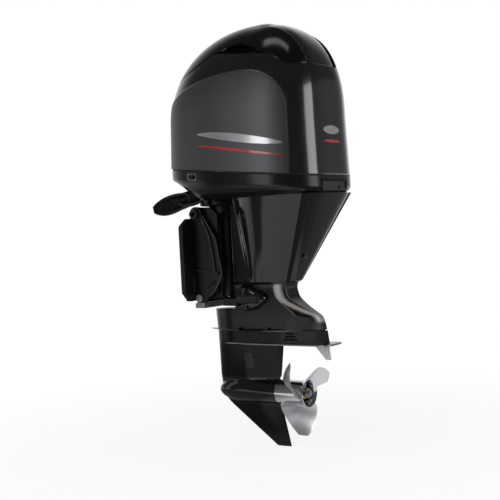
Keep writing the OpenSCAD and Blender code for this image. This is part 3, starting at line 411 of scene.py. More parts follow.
# %% [markdown]
# The gloss cap is a separate moulding: two arched grips with the air inlets
# under them, and a sunk panel between the arches at the stern.

# %% Cowl cap
SUNK_DEEP, SUNK_HALF, SUNK_FROM, SUNK_RUN = 11.0, 98.0, 330.0, 110.0


def cap_offset(p):
    """The stern panel sinks between the arches; elsewhere the cap lies on the dome."""
    x, y = p[..., 0], np.abs(p[..., 1])
    return -SUNK_DEEP * ease((SUNK_HALF - y) / 9) * ease((x - SUNK_FROM) / SUNK_RUN)


cap_low = np.minimum(height_at(AZIMUTH, edge_z + GAP + lift_z), CROWN - 0.02)
cap_k = np.linspace(0, 1, 64)[:, None]
cap_t = mix(cap_low[None, :], CROWN, cap_k)
edge_round = -2.5 * (1 - ease(cap_k / 0.03))
outside = cowl_point(AZIMUTH, cap_t, edge_round)
outside = cowl_point(AZIMUTH, cap_t, edge_round + cap_offset(outside))
inside = cowl_point(AZIMUTH, cap_t[::7][::-1], -CAP_T - SUNK_DEEP)
inside[-1] = cowl_point(AZIMUTH, cap_t[0], -CAP_T)
under_crown = [COWL_MID, 0, COWL_TOP - CAP_T - SUNK_DEEP]
cowl_cap = bowl_piece("cowl_cap_fine", np.concatenate([inside, outside]), under_crown,
                      outside[-1].mean(axis=0), "cowl", "gloss_trim", 50)
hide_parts("cowl_cap")

# %% [markdown]
# Stripes on a cowl are thin film laid on the paint. Each one here is a narrow
# grid that follows the cowl surface a third of a millimetre proud, so its edges
# stay sharp at any size. The layout is a plain one: a long tapered silver bar
# over a thin red line on each flank, and a short pair on the stern.

# %% Stripes
FILM = 0.35


def stripe_piece(name, u_from, u_to, middle, lean, half, slot, count=90):
    """Grid from azimuth u_from to u_to in degrees, pointed at both ends:
    height middle + lean k, half width half sin(pi k)^0.5."""
    k = np.linspace(0, 1, count)
    u = np.radians(mix(u_from, u_to, k))
    swell = half * np.sqrt(np.clip(np.sin(np.pi * k), 0, 1))
    t = mix(middle + lean * k - swell, middle + lean * k + swell, np.linspace(0, 1, 5)[:, None])
    rise = PANEL_RISE * panel_share(cowl_point(u, t), PANEL_SOFT)
    loop = np.concatenate([cowl_point(u, t, rise + FILM), cowl_point(u, t, rise - FILM)[::-1]])
    if u_to < u_from:
        loop = loop[:, ::-1]
    faces = [grid_faces(*loop.shape[:2], close_rows=True)]
    return mesh_piece(name, loop.reshape(-1, 3), faces, "cowl", slot)


FLANK, STERN = np.array([46, 128]), (-11, 11)
for side, name in SIDES[::-1]:
    ends = FLANK if side > 0 else 360 - FLANK
    stripe_piece("silver_bar_" + name, *ends, 0.50, 0.24, 0.075, "silver_film")
    stripe_piece("red_line_" + name, *ends, 0.30, 0.20, 0.025, "red_film")
stripe_piece("silver_bar_stern", *STERN, 0.72, 0, 0.07, "silver_film", 40)
stripe_piece("red_line_stern", *STERN, 0.54, 0, 0.025, "red_film", 40)

# %% [markdown]
# ## The tray
# The tray is the lower half of the engine's housing: a shallow basin whose lip
# meets the cowl. Its rear wall has a pocket for the latch. The columns of the
# grid are closer together at the pocket's sides, so the pocket keeps crisp edges.

# %% Tray
TRAY_Z, TRAY_RISE, SEAL_T, FLOOR_T = 112.0, 70.0, 3.0, 5.0
SOLE_HALF, CHINE_SHARE, SIDE_DROP = 172.0, 0.12, 34.0
LATCH_W, LATCH_H, LATCH_Z, LATCH_X = 150.0, 34.0, 136.0, 581.0
pocket_edge = np.degrees(np.arctan2(LATCH_W / 2 + np.array([0.5, 1.5, 4.0]), LATCH_X + 12 - COWL_MID))
tray_u = np.radians(np.unique(np.concatenate([np.arange(0, 360, 1.25), pocket_edge, 360 - pocket_edge])))


def tray_under(x):
    """Underside of the tray: level aft, rising in an eased step towards the bow."""
    return TRAY_Z + TRAY_RISE * ease((120 - x) / 180)


def sole_radius(u):
    """Outline of the tray's flat sole."""
    aft, fore = oval(u, REAR_LEN - 16, SOLE_HALF, 4), oval(u, FRONT_LEN - 70, SOLE_HALF, 2.4)
    return np.where(np.cos(u) >= 0, aft, fore)


def tray_point(u, r, height):
    """Point at azimuth u and radius r whose height is a function of its x."""
    x = COWL_MID + r * np.cos(u)
    return np.stack([x, r * np.sin(u), height(x)], axis=-1)


def sole_rings(shares, height):
    """The sole's outline drawn in to the given shares."""
    return tray_point(tray_u, np.array(shares)[:, None] * sole_radius(tray_u), height)


def bilge_rings(count):
    """Quadratic sweep sole - chine - side: the round of the tray."""
    k = np.linspace(0, 1, count)[:, None, None]
    r = plan_radius(tray_u)
    sole = tray_point(tray_u, sole_radius(tray_u), tray_under)
    chine = tray_point(tray_u, r, lambda x: mix(tray_under(x), seam_height(x), CHINE_SHARE))
    side = tray_point(tray_u, r, lambda x: seam_height(x) - SEAL_T - GAP - SIDE_DROP)
    return (1 - k) ** 2 * sole + 2 * k * (1 - k) * chine + k ** 2 * side


def lip_ring(off, drop):
    """The tray's lip just under the seal."""
    r = plan_radius(tray_u) + off
    return tray_point(tray_u, r, lambda x: seam_height(x) - SEAL_T - GAP - drop)[None]


def pocket(p):
    """Points of the stern wall inside the latch's outline, set forward to the pocket's floor."""
    x, y, z = p[..., 0], np.abs(p[..., 1]), p[..., 2]
    depth = ease((LATCH_W / 2 + 1.5 - y) / 1.0) * ease((z - LATCH_Z + LATCH_H / 2 + 2.0) / 1.0)
    depth = depth * ease((LATCH_Z + LATCH_H / 2 + 3.5 - z) / 1.0) * (x > COWL_MID)
    return p - depth[..., None] * np.stack([np.maximum(0, x - LATCH_X + 3.0), 0 * y, 0 * z], axis=-1)


wall_rings = mix(bilge_rings(2)[-1:], lip_ring(0, 1.5), np.linspace(0.03, 1, 40)[:, None, None])
inner_rings = np.concatenate([lip_ring(-1.5, 0), lip_ring(-WALL, 0), lip_ring(-WALL - 12, 30)])
floor_rings = sole_rings((0.92, 0.7, 0.4), lambda x: tray_under(x) + FLOOR_T)
outside = pocket(np.concatenate([sole_rings((0.5, 0.75, 0.92), tray_under), bilge_rings(40), wall_rings]))
tray = bowl_piece("tray_fine", np.concatenate([outside, inner_rings, floor_rings]), [COWL_MID, 0, TRAY_Z],
                  [COWL_MID, 0, TRAY_Z + FLOOR_T], "engine", "tray_paint", 36)
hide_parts("tray")

# %% [markdown]
# A rubber strip frames the latch on three sides, and a metal bezel frames the
# rocker switch at the bow. Each path runs over the tray's wall: a knot is an
# azimuth in degrees and a height.

# %% Latch frame and switch bezel
FRAME_R, FRAME_SUNK = 2.6, 0.6
FRAME_KNOTS = [[-17.4, 115], [-17.4, 149], [-16.6, 154], [-15.6, 156], [14.2, 156], [15.2, 154],
               [15.8, 149], [15.8, 124]]
frame_u, frame_z = smooth_path(FRAME_KNOTS, 120).T
frame_u = np.radians(frame_u)
frame_path = tray_point(frame_u, plan_radius(frame_u) - FRAME_SUNK, lambda x: frame_z)
tube_piece("latch_frame", frame_path, FRAME_R, 14, "engine", "joint_and_shade_black")
BEZEL_U, BEZEL_DROP, BEZEL_R, BEZEL_SUNK = 224.0, 26.0, 1.7, 0.3
BEZEL_KNOTS = [[-4.2, 0], [-4.2, 8], [-3.4, 10], [3.4, 10], [4.2, 8], [4.2, -8], [3.4, -10],
               [-3.4, -10], [-4.2, -8], [-4.2, 0]]
bezel_u, bezel_z = smooth_path(BEZEL_KNOTS, 120).T
bezel_u = np.radians(BEZEL_U + bezel_u)
bezel_path = tray_point(bezel_u, plan_radius(bezel_u) - BEZEL_SUNK,
                        lambda x: seam_height(x) - BEZEL_DROP + bezel_z)
tube_piece("switch_bezel", bezel_path, BEZEL_R, 12, "engine", "cast_alloy")
print("latch frame %.0f mm long" % path_length(frame_path))

# %% [markdown]
# Two short bosses hang under the tray, one round the rubber sleeve and one round
# the cable, with a fuel joint and a drain grommet beside them. A wide collar
# closes the room round the steering arm. Each is turned, so a profile carried
# round a circle is all it needs.

# %% Tray bosses


def collar(name, x, y, slot, sides, profile):
    """Closed ring: a profile of (radius, z) turned about the upright line through (x, y)."""
    q = turn(sides)
    r, z = np.asarray(profile, float).T[:, :, None]
    rings = np.stack([x + r * np.cos(q), y + r * np.sin(q), z + 0 * q], axis=-1)
    return ring_piece(name, rings, "engine", slot)


collar("sleeve_boss", 10, -64, "tray_paint", 64,
       [[25.4, 158], [28, 156.5], [31, 158], [32.5, 162], [34, 190], [25.4, 190]])
collar("cable_boss", 62, -100, "tray_paint", 40,
       [[6.4, 127], [9.5, 126.4], [11, 128], [11.5, 149], [6.4, 149]])
collar("fuel_joint", 92, -116, "black_plastic", 40,
       [[0.3, 96], [7, 96], [8, 98], [8, 104], [12, 106], [13, 108], [13, 116], [9, 118], [9, 140],
        [0.3, 140]])
collar("steering_collar", 95, 0, "joint_and_shade_black", 96,
       [[96, 116], [100, 116], [100, 95], [97, 91.6], [68, 91], [66, 89], [66, 63], [62, 63], [62, 93],
        [64, 95], [96, 96]])
collar("drain_grommet", 124, -112, "rubber", 40, [[0.3, 106], [6, 106], [9, 109], [9, 138], [0.3, 138]])

# %% [markdown]
# ## The apron
# Three panels close the space between tray and leg. Each side panel is ruled
# between a short curve on the leg and a long curve under the tray, with a rolled
# bead along its front edge.

# %% Apron panels
APRON_Z, APRON_T = -205.0, 4.0
APRON_H = TRAY_Z - GAP - APRON_Z
SIDE_LO = [[238, 67], [275, 75], [320, 76], [368, 65], [405, 44]]
SIDE_HI = [[186, 80], [250, 128], [340, 158], [470, 164], [576, 143]]
APRON_BULGE, BEAD_RISE, BEAD_WIDE = 0.16, 5.0, 0.07
S_COUNT, T_COUNT = 72, 64
apron_s = np.linspace(0, 1, S_COUNT)[None, :]
apron_t = np.linspace(0, 1, T_COUNT)[:, None]


def apron_surface(inset):
    """Blend of the two curves, bulged by b(s) t (1 - t), with a bead, drawn in by inset."""
    low, high = smooth_path(SIDE_LO, S_COUNT), smooth_path(SIDE_HI, S_COUNT)
    bulge = APRON_BULGE * (1 - ease(2 * apron_s - 1))
    k = (apron_t + bulge * apron_t * (1 - apron_t))[..., None]
    plan = mix(low[None], high[None], k)
    bead = BEAD_RISE * np.sin(np.pi * np.clip(apron_s / BEAD_WIDE, 0, 1)) * ease(apron_t / 0.05)
    y = plan[..., 1] + bead - inset
    z = APRON_Z + APRON_H * apron_t + 0 * apron_s
    return np.stack([plan[..., 0], y, z], axis=-1)


starboard = np.concatenate([apron_surface(APRON_T), apron_surface(0.0)[:, ::-1]], axis=1)
apron_starboard = skin_piece("apron_starboard_fine", starboard, "engine", "satin_black")
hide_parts("apron_starboard")
apron_port = skin_piece("apron_port_fine", mirrored(starboard), "engine", "satin_black")
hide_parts("apron_port")

# %% [markdown]
# A near-black matt strip lies along the joint between each side panel and the
# rear panel: painted shade, standing in for the dark band that the rounded
# corner shows there. It is the last few columns of the same surface, set 0.8 mm
# proud of the panel.

# %% Corner shade strips
STRIP_COLS, STRIP_RISE = 6, 0.8
strip = np.concatenate([apron_surface(STRIP_RISE)[:, -STRIP_COLS:],
                        apron_surface(-STRIP_RISE)[:, -STRIP_COLS:][:, ::-1]], axis=1)
skin_piece("joint_strip_starboard", strip, "engine", "joint_and_shade_black")
skin_piece("joint_strip_port", mirrored(strip), "engine", "joint_and_shade_black")
print("corner shade strips", strip.shape)

# %% [markdown]
# The rear panel is a shallow trough between the side panels' rear edges. Its
# section is a flattened arch whose half width follows the panels.

# %% Rear panel
spine_low, spine_high = np.array(SIDE_LO[-1], float), np.array(SIDE_HI[-1], float)
SPINE_SET, SPINE_ARCH, SPINE_CROWN, SPINE_COLS = 4.0, 13.0, 1.0, 49


def spine_surface(inset):
    """Arch x = edge - set + arch (1 - v^6) + crown (1 - v^2) for v = -1..1, drawn forward by inset."""
    edge = mix(spine_low, spine_high, apron_t)
    v = np.linspace(-1, 1, SPINE_COLS)[None, :]
    half = edge[:, 1:] - APRON_T - GAP
    x = edge[:, :1] - SPINE_SET + SPINE_ARCH * (1 - np.abs(v) ** 6) + SPINE_CROWN * (1 - v ** 2) - inset
    return np.stack([x, v * half, APRON_Z + APRON_H * apron_t + 0 * v], axis=-1)


spine = np.concatenate([spine_surface(0.0), spine_surface(APRON_T)[:, ::-1]], axis=1)
apron_rear = skin_piece("apron_rear_fine", spine, "engine", "satin_black")
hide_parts("apron_rear")

# %% [markdown]
# ## The leg
# The leg is a casting with a streamlined section: an elliptic nose, a parallel
# side and a tail that eases to a blunt end. Listing that section at a few
# heights and blending between them gives the flare under the apron and the
# sweep down to the gearcase. A vertex attribute marks the bevel along the rear
# corner, where a paler colour is painted on as a highlight.

# %% Leg
LEG_LEVELS = np.array([
    [-387, 32, 524, 50, 110, 150, 10], [-365, 31, 519, 51, 110, 135, 11],
    [-345, 30, 512, 52.2, 110, 110, 12], [-334, 29, 505, 52.8, 110, 80, 12],
    [-322, 29, 481, 53.5, 110, 65, 16], [-309, 28, 457, 54.2, 110, 56, 22],
    [-307, 135, 453, 54.3, 30, 56, 22], [-280, 135, 410, 55.7, 30, 50, 33],
    [-264, 135, 394, 56.5, 30, 48, 36], [-240, 135, 386, 57.6, 30, 46, 37],
    [-228, 135, 385, 58.2, 30, 46, 37], [-214, 135, 387, 60, 30, 48, 40],
    [-205.3, 135, 405, 72, 160, 90, 44], [-205.1, 135, 384, 56, 30, 60, 40],
    [92, 135, 384, 56, 30, 60, 40]], float)
STATIONS, LEG_SOFT, FLARE_Z = 96, 8.0, -235.0
BEVEL_FOOT, BEVEL_HEAD, BEVEL_WIDE = -348.0, -283.0, 20.0


def chord_half(x, front, rear, w, nose, tail, end):
    """Half width of a streamlined section: elliptic nose, flat side, eased tail."""
    fore = w * np.sqrt(np.clip(1 - (1 - np.clip((x - front) / nose, 0, 1)) ** 2, 0.0009, 1))
    aft = mix(w, end, ease((x - rear + tail) / tail))
    return np.where(x < front + nose, np.minimum(fore, np.where(x > rear - tail, aft, fore)), aft)


def foil_rings(levels, z):
    """Rings at heights z: the section's numbers are read between the levels, softened below the flare."""
    z = z[:, None]
    around = z + LEG_SOFT * ease((FLARE_Z - z) / 40) * np.linspace(-1, 1, 9)
    heights = [z if i in (1, 4) else around for i in range(1, 7)]
    n = [np.interp(h, levels[:, 0], levels[:, i + 1]).mean(axis=1, keepdims=True)
         for i, h in enumerate(heights)]
    x = mix(n[0], n[1], gathered(STATIONS))
    return both_flanks(x, chord_half(x, *n), z)


leg_z = np.unique(np.concatenate([np.linspace(-387, -309, 26), np.linspace(-307, -205.3, 44), [-205.1, 92]]))
leg_rings = foil_rings(LEG_LEVELS, leg_z)
upper_leg = skin_piece("leg_fine", leg_rings, "engine", "leg_black")
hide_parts("upper_case")
# The bevel mask feeds leg_black's pale zone: a painted highlight along the rear corner of the leg.
leg_height = leg_rings[..., 2]
from_stern = np.interp(leg_height, LEG_LEVELS[:, 0], LEG_LEVELS[:, 2]) - leg_rings[..., 0]
bevel_middle = mix(8, 31, np.clip((leg_height - BEVEL_FOOT) / (BEVEL_HEAD - BEVEL_FOOT), 0, 1))
bevel = 1 - ease(np.abs(from_stern - bevel_middle) / BEVEL_WIDE)
bevel = bevel * ease((leg_height - BEVEL_FOOT + 18) / 18) * ease((-210 - leg_height) / 12)
mark(upper_leg, "bevel", bevel)

# %% [markdown]
# ## The gearcase
# Below the anti-ventilation plate a thin strut runs into the torpedo that holds
# the gears, and a skeg guards the propeller. On the casting the three flow into
# each other with soft fillets. At every height the half width is the soft
# maximum of the three, which makes the fillets by itself.

# %% Gearcase body
PLATE_Z, AXIS_Z, SKEG_Z, HUB_X = -440.0, -625.0, -831.0, 310.0
TORPEDO_R, NOSE_X, NOSE_LEN = 47.0, 27.0, 118.0
STRUT = np.array([[-700, 40, 300, 24, 110, 120, 6], [-607, 38, 304, 26, 110, 130, 6],
                  [-575, 34, 307, 29, 110, 140, 6], [-566, 33, 314, 30, 110, 150, 6],
                  [-440, 33, 331, 42, 110, 150, 6]], float)
SKEG = np.array([[-831, 284, 347, 4, 20, 30, 1.5], [-686, 84, 314, 7, 60, 120, 2.5],
                 [-675, 70, 307, 7.5, 60, 120, 2.5], [-662, 58, 306, 8, 60, 120, 3],
                 [-600, 52, 306, 8, 60, 120, 3]], float)


def torpedo_radius(x):
    """Elliptic nose running into a cylinder that draws in slightly at its end."""
    nose = np.sqrt(np.clip(1 - np.clip((NOSE_X + NOSE_LEN - x) / NOSE_LEN, 0, 1) ** 2, 0, 1))
    return TORPEDO_R * nose * (1 - 0.02 * ease((x - HUB_X + 30) / 30))


def levels_at(levels, z):
    """The six section numbers at each height z, as columns."""
    return [np.interp(z, levels[:, 0], levels[:, i])[:, None] for i in range(1, 7)]


def gearcase_rings(z):
    """Rings whose half width is (strut^4 + torpedo^4 + skeg^4)^(1/4)."""
    strut, skeg = levels_at(STRUT, z), levels_at(SKEG, z)
    zz = z[:, None]
    rise = np.abs(zz - AXIS_Z)
    inside = rise < TORPEDO_R
    nose = NOSE_X + NOSE_LEN * (1 - np.sqrt(np.clip(1 - (rise / TORPEDO_R) ** 2, 0, 1)))
    above = zz > AXIS_Z - 20
    front = np.where(above, strut[0], skeg[0])
    front = np.where(inside, np.minimum(front, nose), front)
    rear = np.where(above, strut[1], skeg[1])
    rear = np.where(rise < TORPEDO_R * 0.98, HUB_X - GAP, rear)
    x = mix(front, rear, gathered(STATIONS))
    fade_up, fade_down = ease((zz - AXIS_Z + 15) / 30), ease((AXIS_Z + 15 - zz) / 30)
    in_strut = (x >= strut[0]) & (x <= strut[1])
    in_skeg = (x >= skeg[0]) & (x <= skeg[1])
    w_strut = chord_half(x, *strut) * in_strut * fade_up
    w_skeg = chord_half(x, *skeg) * in_skeg * fade_down
    w_torpedo = np.sqrt(np.clip(torpedo_radius(x) ** 2 - rise ** 2, 0, None))
    half = np.maximum((w_strut ** 4 + w_skeg ** 4 + w_torpedo ** 4) ** 0.25, 0.6)
    return both_flanks(x, half, zz)


case_z = np.unique(np.concatenate([np.linspace(SKEG_Z, -690, 30), np.linspace(-690, -560, 90),
                                   np.linspace(-560, PLATE_Z, 30)]))
case_rings = gearcase_rings(case_z)
gearcase = skin_piece("gearcase_fine", case_rings, "engine", "gear_black")
pod = ease((TORPEDO_R + 12 - np.abs(case_rings[..., 2] - AXIS_Z)) / 22)
mark(gearcase, "pod", pod)
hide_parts("gearcase")

# %% [markdown]
# Above the plate the strut widens to meet the leg. Three exhaust relief slots
# are pressed into each flank: rows and stations lie close and nearly even, and
# the points inside are drawn in.

# %% Upper strut
STRUT_TOP = np.array([[-441, 34, 534, 48, 110, 250, 8], [-390, 34, 526, 50, 110, 240, 10]], float)
VENT_X, VENT_DEEP = 388.0, 9.0
VENT_LOW, VENT_PITCH, VENT_HALF, VENT_TALL = 14.0, 11.0, 25.0, 6.0


def vent_depth(p):
    """Three slots, each shorter than the one below it."""
    x, z = p[..., 0], p[..., 2]
    depth = np.zeros(x.shape)
    for k in range(3):
        low = PLATE_Z + VENT_LOW + VENT_PITCH * k
        across = ease((VENT_HALF - 5 * k - np.abs(x - VENT_X + 0.35 * (z - low))) / 2.0)
        depth = np.maximum(depth, across * ease((z - low) / 1.0) * ease((low + VENT_TALL - z) / 1.0))
    return depth


def dense_foil(levels, z, stations):
    """Foil rings with even stations, for flanks that carry small features."""
    n = levels_at(levels, z)
    x = mix(n[0], n[1], np.linspace(0, 1, stations)[None, :] ** 1.15)
    return both_flanks(x, chord_half(x, *n), z[:, None])


strut_rings = dense_foil(STRUT_TOP, np.linspace(-441, -390, 103), 240)
drawn_in = vent_depth(strut_rings) * VENT_DEEP
strut_rings[..., 1] -= np.sign(strut_rings[..., 1]) * np.minimum(drawn_in, np.abs(strut_rings[..., 1]) - 1)
upper_strut = skin_piece("upper_strut", strut_rings, "engine", "slot_black")
# The slot mask makes slot_black darker inside the slots: painted shade in the recesses.
mark(upper_strut, "slot", drawn_in / VENT_DEEP)

# %% [markdown]
# The anti-ventilation plate is a long flat leaf with a rounded rim. Its outline
# is read at stations along X, and its section is a flattened oval.

# %% Anti-ventilation plate
PLATE_PTS = np.array([[46, 2], [50, 12], [60, 26], [100, 44], [180, 56], [300, 62], [500, 62], [540, 61],
                      [556, 54], [562, 40]], float)
PLATE_T = 7.0
plate_path = smooth_path(PLATE_PTS, 90)


def plate_rings(outline, z, thick):
    """Oval section round each station: half width times cos, thickness times sin."""
    q = turn(40)
    wide, tall = blunt(np.cos(q), 0.35), blunt(np.sin(q), 0.35)
    taper = ease((outline[:, 1:] + 6) / 30)
    y, up = outline[:, 1:] * wide, thick / 2 * tall * taper
    return np.stack([outline[:, :1] + 0 * y, y, z + up], axis=-1)


plate = plate_rings(plate_path, PLATE_Z, PLATE_T)
ends = [[plate_path[0, 0] - 0.5, 0, PLATE_Z], [plate_path[-1, 0] + 0.5, 0, PLATE_Z]]
av_plate = bowl_piece("av_plate", plate, *ends, "engine", "plate_black", 40)
# The edge mask gives plate_black a paler metallic grey at the rim: a painted highlight along the plate's edge.
edge = np.append(ease((np.abs(plate[..., 1]) - plate_path[:, 1:] + 2.5) / 2.0), [1.0, 1.0])
mark(av_plate, "edge", edge)

# %% [markdown]
# A slotted screen covers the cooling water inlet on each side of the strut. It
# follows the flank, with five slots pressed through it.

# %% Inlet screens
GRILLE = (176.0, 211.0, -535.0, -478.0)


def screen_rings(side):
    """Patch of the flank, proud by 1.5 mm at its rim and drawn in at its slots."""
    x = np.linspace(GRILLE[0], GRILLE[1], 71)[None, :]
    z = np.linspace(GRILLE[2], GRILLE[3], 115)[:, None]
    half = chord_half(x, *levels_at(STRUT, z[:, 0]))
    edge = np.minimum(np.minimum(x - GRILLE[0], GRILLE[1] - x), np.minimum(z - GRILLE[2], GRILLE[3] - z))
    pitch = (z - GRILLE[2] - 6) % 10
    slots = ease((edge - 5) / 1.0) * ease(pitch / 0.8) * ease((5 - pitch) / 0.8)
    y = half - 2 + 3.5 * ease(edge / 1.5) - 6 * slots
    return np.stack(np.broadcast_arrays(x, side * y, z), axis=-1)


def patch_piece(name, patch, thick, side, body, slot):
    """Closed slab: a patch facing +Y or -Y, its copy set inward, and a rim between."""
    rows, cols = patch.shape[:2]
    inner = patch.copy()
    inner[..., 1] = (np.abs(patch[..., 1]).min() - thick) * side
    front, rear = grid_faces(rows, cols), grid_faces(rows, cols, first=rows * cols)
    loop = np.concatenate([np.arange(cols), np.arange(2 * cols - 1, rows * cols, cols),
                           np.arange(rows * cols - 2, (rows - 1) * cols - 1, -1),
                           np.arange((rows - 2) * cols, 0, -cols)])
    rim = np.stack([np.roll(loop, -1), loop, loop + rows * cols, np.roll(loop, -1) + rows * cols], axis=-1)
    faces = [front, rear[:, ::-1], rim]
    faces = faces if side < 0 else [f[:, ::-1] for f in faces]
    return mesh_piece(name, np.concatenate([patch.reshape(-1, 3), inner.reshape(-1, 3)]), faces, body, slot)


screens = [patch_piece("inlet_screen_" + name, screen_rings(side), 3.0, side, "engine", "black_plastic")
           for side, name in SIDES]
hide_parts("inlet_screens")

# %% [markdown]
# ## The propeller
# A propeller blade is a helical sheet: along each radius it lies on a helix of
# the same pitch, so its angle flattens outwards. The chord swells to the middle
# of the blade and the tip is raked aft. Three blades stand on a hollow hub that
# carries the exhaust.

# %% Propeller blades
PROP_R, PROP_PITCH, SPAN, CHORD = 156.0, 430.0, 48, 40
BLADE_ROOT, BLADE_RAKE, BLADE_HOOK, BLADE_HALF, BLADE_SKEW = 70.0, 34.0, 16.0, 64.0, np.radians(16)
BLADE_TURNS = (60, 180, 300)


def blade_surface(face):
    """Point at span k and chord c on a helix of the pitch; face +1 or -1 sets the thickness."""
    k = np.linspace(0, 1, SPAN)[:, None]
    c = gathered(CHORD)
    r = mix(TORPEDO_R - 6, PROP_R, k)
    w = BLADE_HALF * np.sin(np.radians(mix(38, 172, k ** 0.8))) ** 0.7 + 6
    q = mix(-w, w, c)
    pitch = np.arctan(PROP_PITCH / (2 * np.pi * r))
    a = q * np.cos(pitch) / r + BLADE_SKEW * k ** 2
    x = HUB_X + BLADE_ROOT + BLADE_RAKE * k + BLADE_HOOK * k ** 2 - q * np.sin(pitch)
    rim = 0.8 * np.sqrt(np.clip(1 - (2 * c - 1) ** 8, 0, 1))
    thick = face * ((1 - (2 * c - 1) ** 2) * mix(6, 2, k) + rim)
    return np.stack([x + thick * np.cos(pitch), r * np.sin(a) + thick * np.sin(pitch) * np.cos(a),
                     r * np.cos(a) - thick * np.sin(pitch) * np.sin(a)], axis=-1)


blade = np.concatenate([blade_surface(1.0), blade_surface(-1.0)[:, ::-1]], axis=1)


def turned_about_x(p, degrees):
    """The blade turned about the propeller axis."""
    s, c = np.sin(np.radians(degrees)), np.cos(np.radians(degrees))
    x, y, z = p[..., 0], p[..., 1], p[..., 2]
    return np.stack([x, y * c - z * s, AXIS_Z + y * s + z * c], axis=-1)


for i, degrees in enumerate(BLADE_TURNS):
    skin_piece("blade_%d" % i, turned_about_x(blade, degrees), "prop", "blade_steel")

# %% [markdown]
# The hub is a turned sleeve with a flared end. Three spokes hold it on a core,
# and the exhaust leaves between them.

# %% Propeller hub
HUB_PROFILE = np.array([[0.3, 41], [0.3, 46], [1.2, 47], [60, 47.4], [103, 47], [116, 47.6], [123, 49.5],
                        [128.5, 52], [130, 51.4], [129.6, 50], [123, 46], [114, 42], [85, 41], [40, 41]])
CORE_PROFILE = np.array([[20, 11.0], [20, 22], [22, 24], [97, 24], [100, 22], [100, 11.0]])
hub = ring_piece("prop_hub", turned_rings(HUB_PROFILE + [HUB_X, 0], AXIS_Z, 96), "prop", "polished_steel", 40)
ring_piece("prop_core", turned_rings(CORE_PROFILE + [HUB_X, 0], AXIS_Z, 64), "prop", "polished_steel")


def spoke_rings(degrees):
    """Bar from the core to the hub wall, a rounded box in section."""
    q = turn(24)
    x, y = HUB_X + 57 + 33 * blunt(np.cos(q), 0.3), 4 * blunt(np.sin(q), 0.6)
    r = np.linspace(21, 43, 6)[:, None]
    return turned_about_x(np.stack(np.broadcast_arrays(x, y, r), axis=-1), degrees)


for i, degrees in enumerate(BLADE_TURNS):
    skin_piece("prop_spoke_%d" % i, spoke_rings(degrees), "prop", "polished_steel")
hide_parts("propeller")

# %% [markdown]
# ## The rubber sleeve
# Cables to the boat run through a moulded rubber sleeve, cut off at a slant so
# that its mouth is a long oval. It could be a tube cut by a plane, but the cut
# would leave a hard edge. Here each line along the tube simply stops where it
# meets the plane, and the wall swells to a rolled lip just before that.

# %% Sleeve
SLEEVE_KNOTS = [[10, -64, 184], [10, -64, 160], [7, -66, 146], [-6, -74, 133], [-32, -91, 120],
                [-70, -117, 108], [-105, -141, 98], [-140, -165, 90]]
SLEEVE_R, SLEEVE_T, SLEEVE_LIP, SLEEVE_SIDES = [25, 25, 26, 28, 31, 34, 36, 36], 6.0, 3.2, 72
MOUTH_AT, MOUTH_TURN = np.array([-159.0, -137.0]), np.radians(11.0)
SLEEVE_ROWS, SLEEVE_STEPS = 240, 110
LAST_ROW = SLEEVE_ROWS - 1
sleeve_path = smooth_path(SLEEVE_KNOTS, SLEEVE_ROWS)
sleeve_s = np.linspace(0, 1, SLEEVE_ROWS)
sleeve_r = np.interp(sleeve_s * (len(SLEEVE_R) - 1), range(len(SLEEVE_R)), SLEEVE_R)
sleeve_len = path_length(sleeve_path)
sleeve_spokes = tube_rings(sleeve_path, 1.0, SLEEVE_SIDES) - sleeve_path[:, None]
walls = sleeve_path[:, None] + sleeve_r[:, None, None] * sleeve_spokes
behind = (walls[..., :2] - MOUTH_AT) @ np.array([-np.sin(MOUTH_TURN), np.cos(MOUTH_TURN)])
stop = np.where((behind < 0).any(axis=0), np.argmax(behind < 0, axis=0), LAST_ROW) / LAST_ROW


def sleeve_wall(k, swell):
    """Points at the share k of each line's length, set out from the wall's middle by swell."""
    s = k[:, None] * stop
    row = s * LAST_ROW
    low = np.minimum(row.astype(int), LAST_ROW - 1)
    col = np.arange(SLEEVE_SIDES)[None, :]
    centre = mix(sleeve_path[low], sleeve_path[low + 1], (row - low)[..., None])
    spoke = mix(sleeve_spokes[low, col], sleeve_spokes[low + 1, col], (row - low)[..., None])
    left = (stop - s) * sleeve_len
    rim = np.sqrt(np.clip(left / 5, 0, 1) * (2 - np.clip(left / 5, 0, 1)))
    half = (SLEEVE_T / 2 + SLEEVE_LIP * np.exp(-((left - 5) / 6) ** 2)) * rim
    radius = np.interp(s, sleeve_s, sleeve_r) - SLEEVE_T / 2 + swell * half
    return centre + radius[..., None] * spoke


sleeve_k = 1 - np.linspace(1, 0, SLEEVE_STEPS) ** 2
sleeve = np.concatenate([sleeve_wall(sleeve_k, 1.0), sleeve_wall(sleeve_k, -1.0)[::-1]])
rigging_sleeve = ring_piece("sleeve_fine", sleeve, "engine", "sleeve_rubber")
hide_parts("rigging_sleeve")
# The bore mask makes sleeve_rubber darker inside the tube: painted shade in the bore.
in_bore = np.arange(len(sleeve)) > SLEEVE_STEPS
mark(rigging_sleeve, "bore", np.repeat(in_bore, SLEEVE_SIDES))
print("sleeve", round(sleeve_len), "mm, shortest line", round(stop.min() * sleeve_len), "mm")

# %% [markdown]
# Inside the sleeve lie a ribbed conduit and two plain leads. They are tubes on
# the sleeve's own path, each shifted along two of its spokes.

# %% Harness


def inner_tube(name, share, along_a, along_b, radius, rib, sides=28):
    """Tube inside the sleeve up to a share of its path, with ribs 6 mm apart."""
    count = int(SLEEVE_ROWS * share)
    a, b = sleeve_spokes[:count, 0], sleeve_spokes[:count, SLEEVE_SIDES // 4]
    fine = smooth_path(sleeve_path[:count] + along_a * a + along_b * b, count * 3)
    s = np.cumsum(np.linalg.norm(np.gradient(fine, axis=0), axis=1))
    return tube_piece(name, fine, radius + rib * np.sin(s * 2 * np.pi / 6), sides, "engine", "rubber")


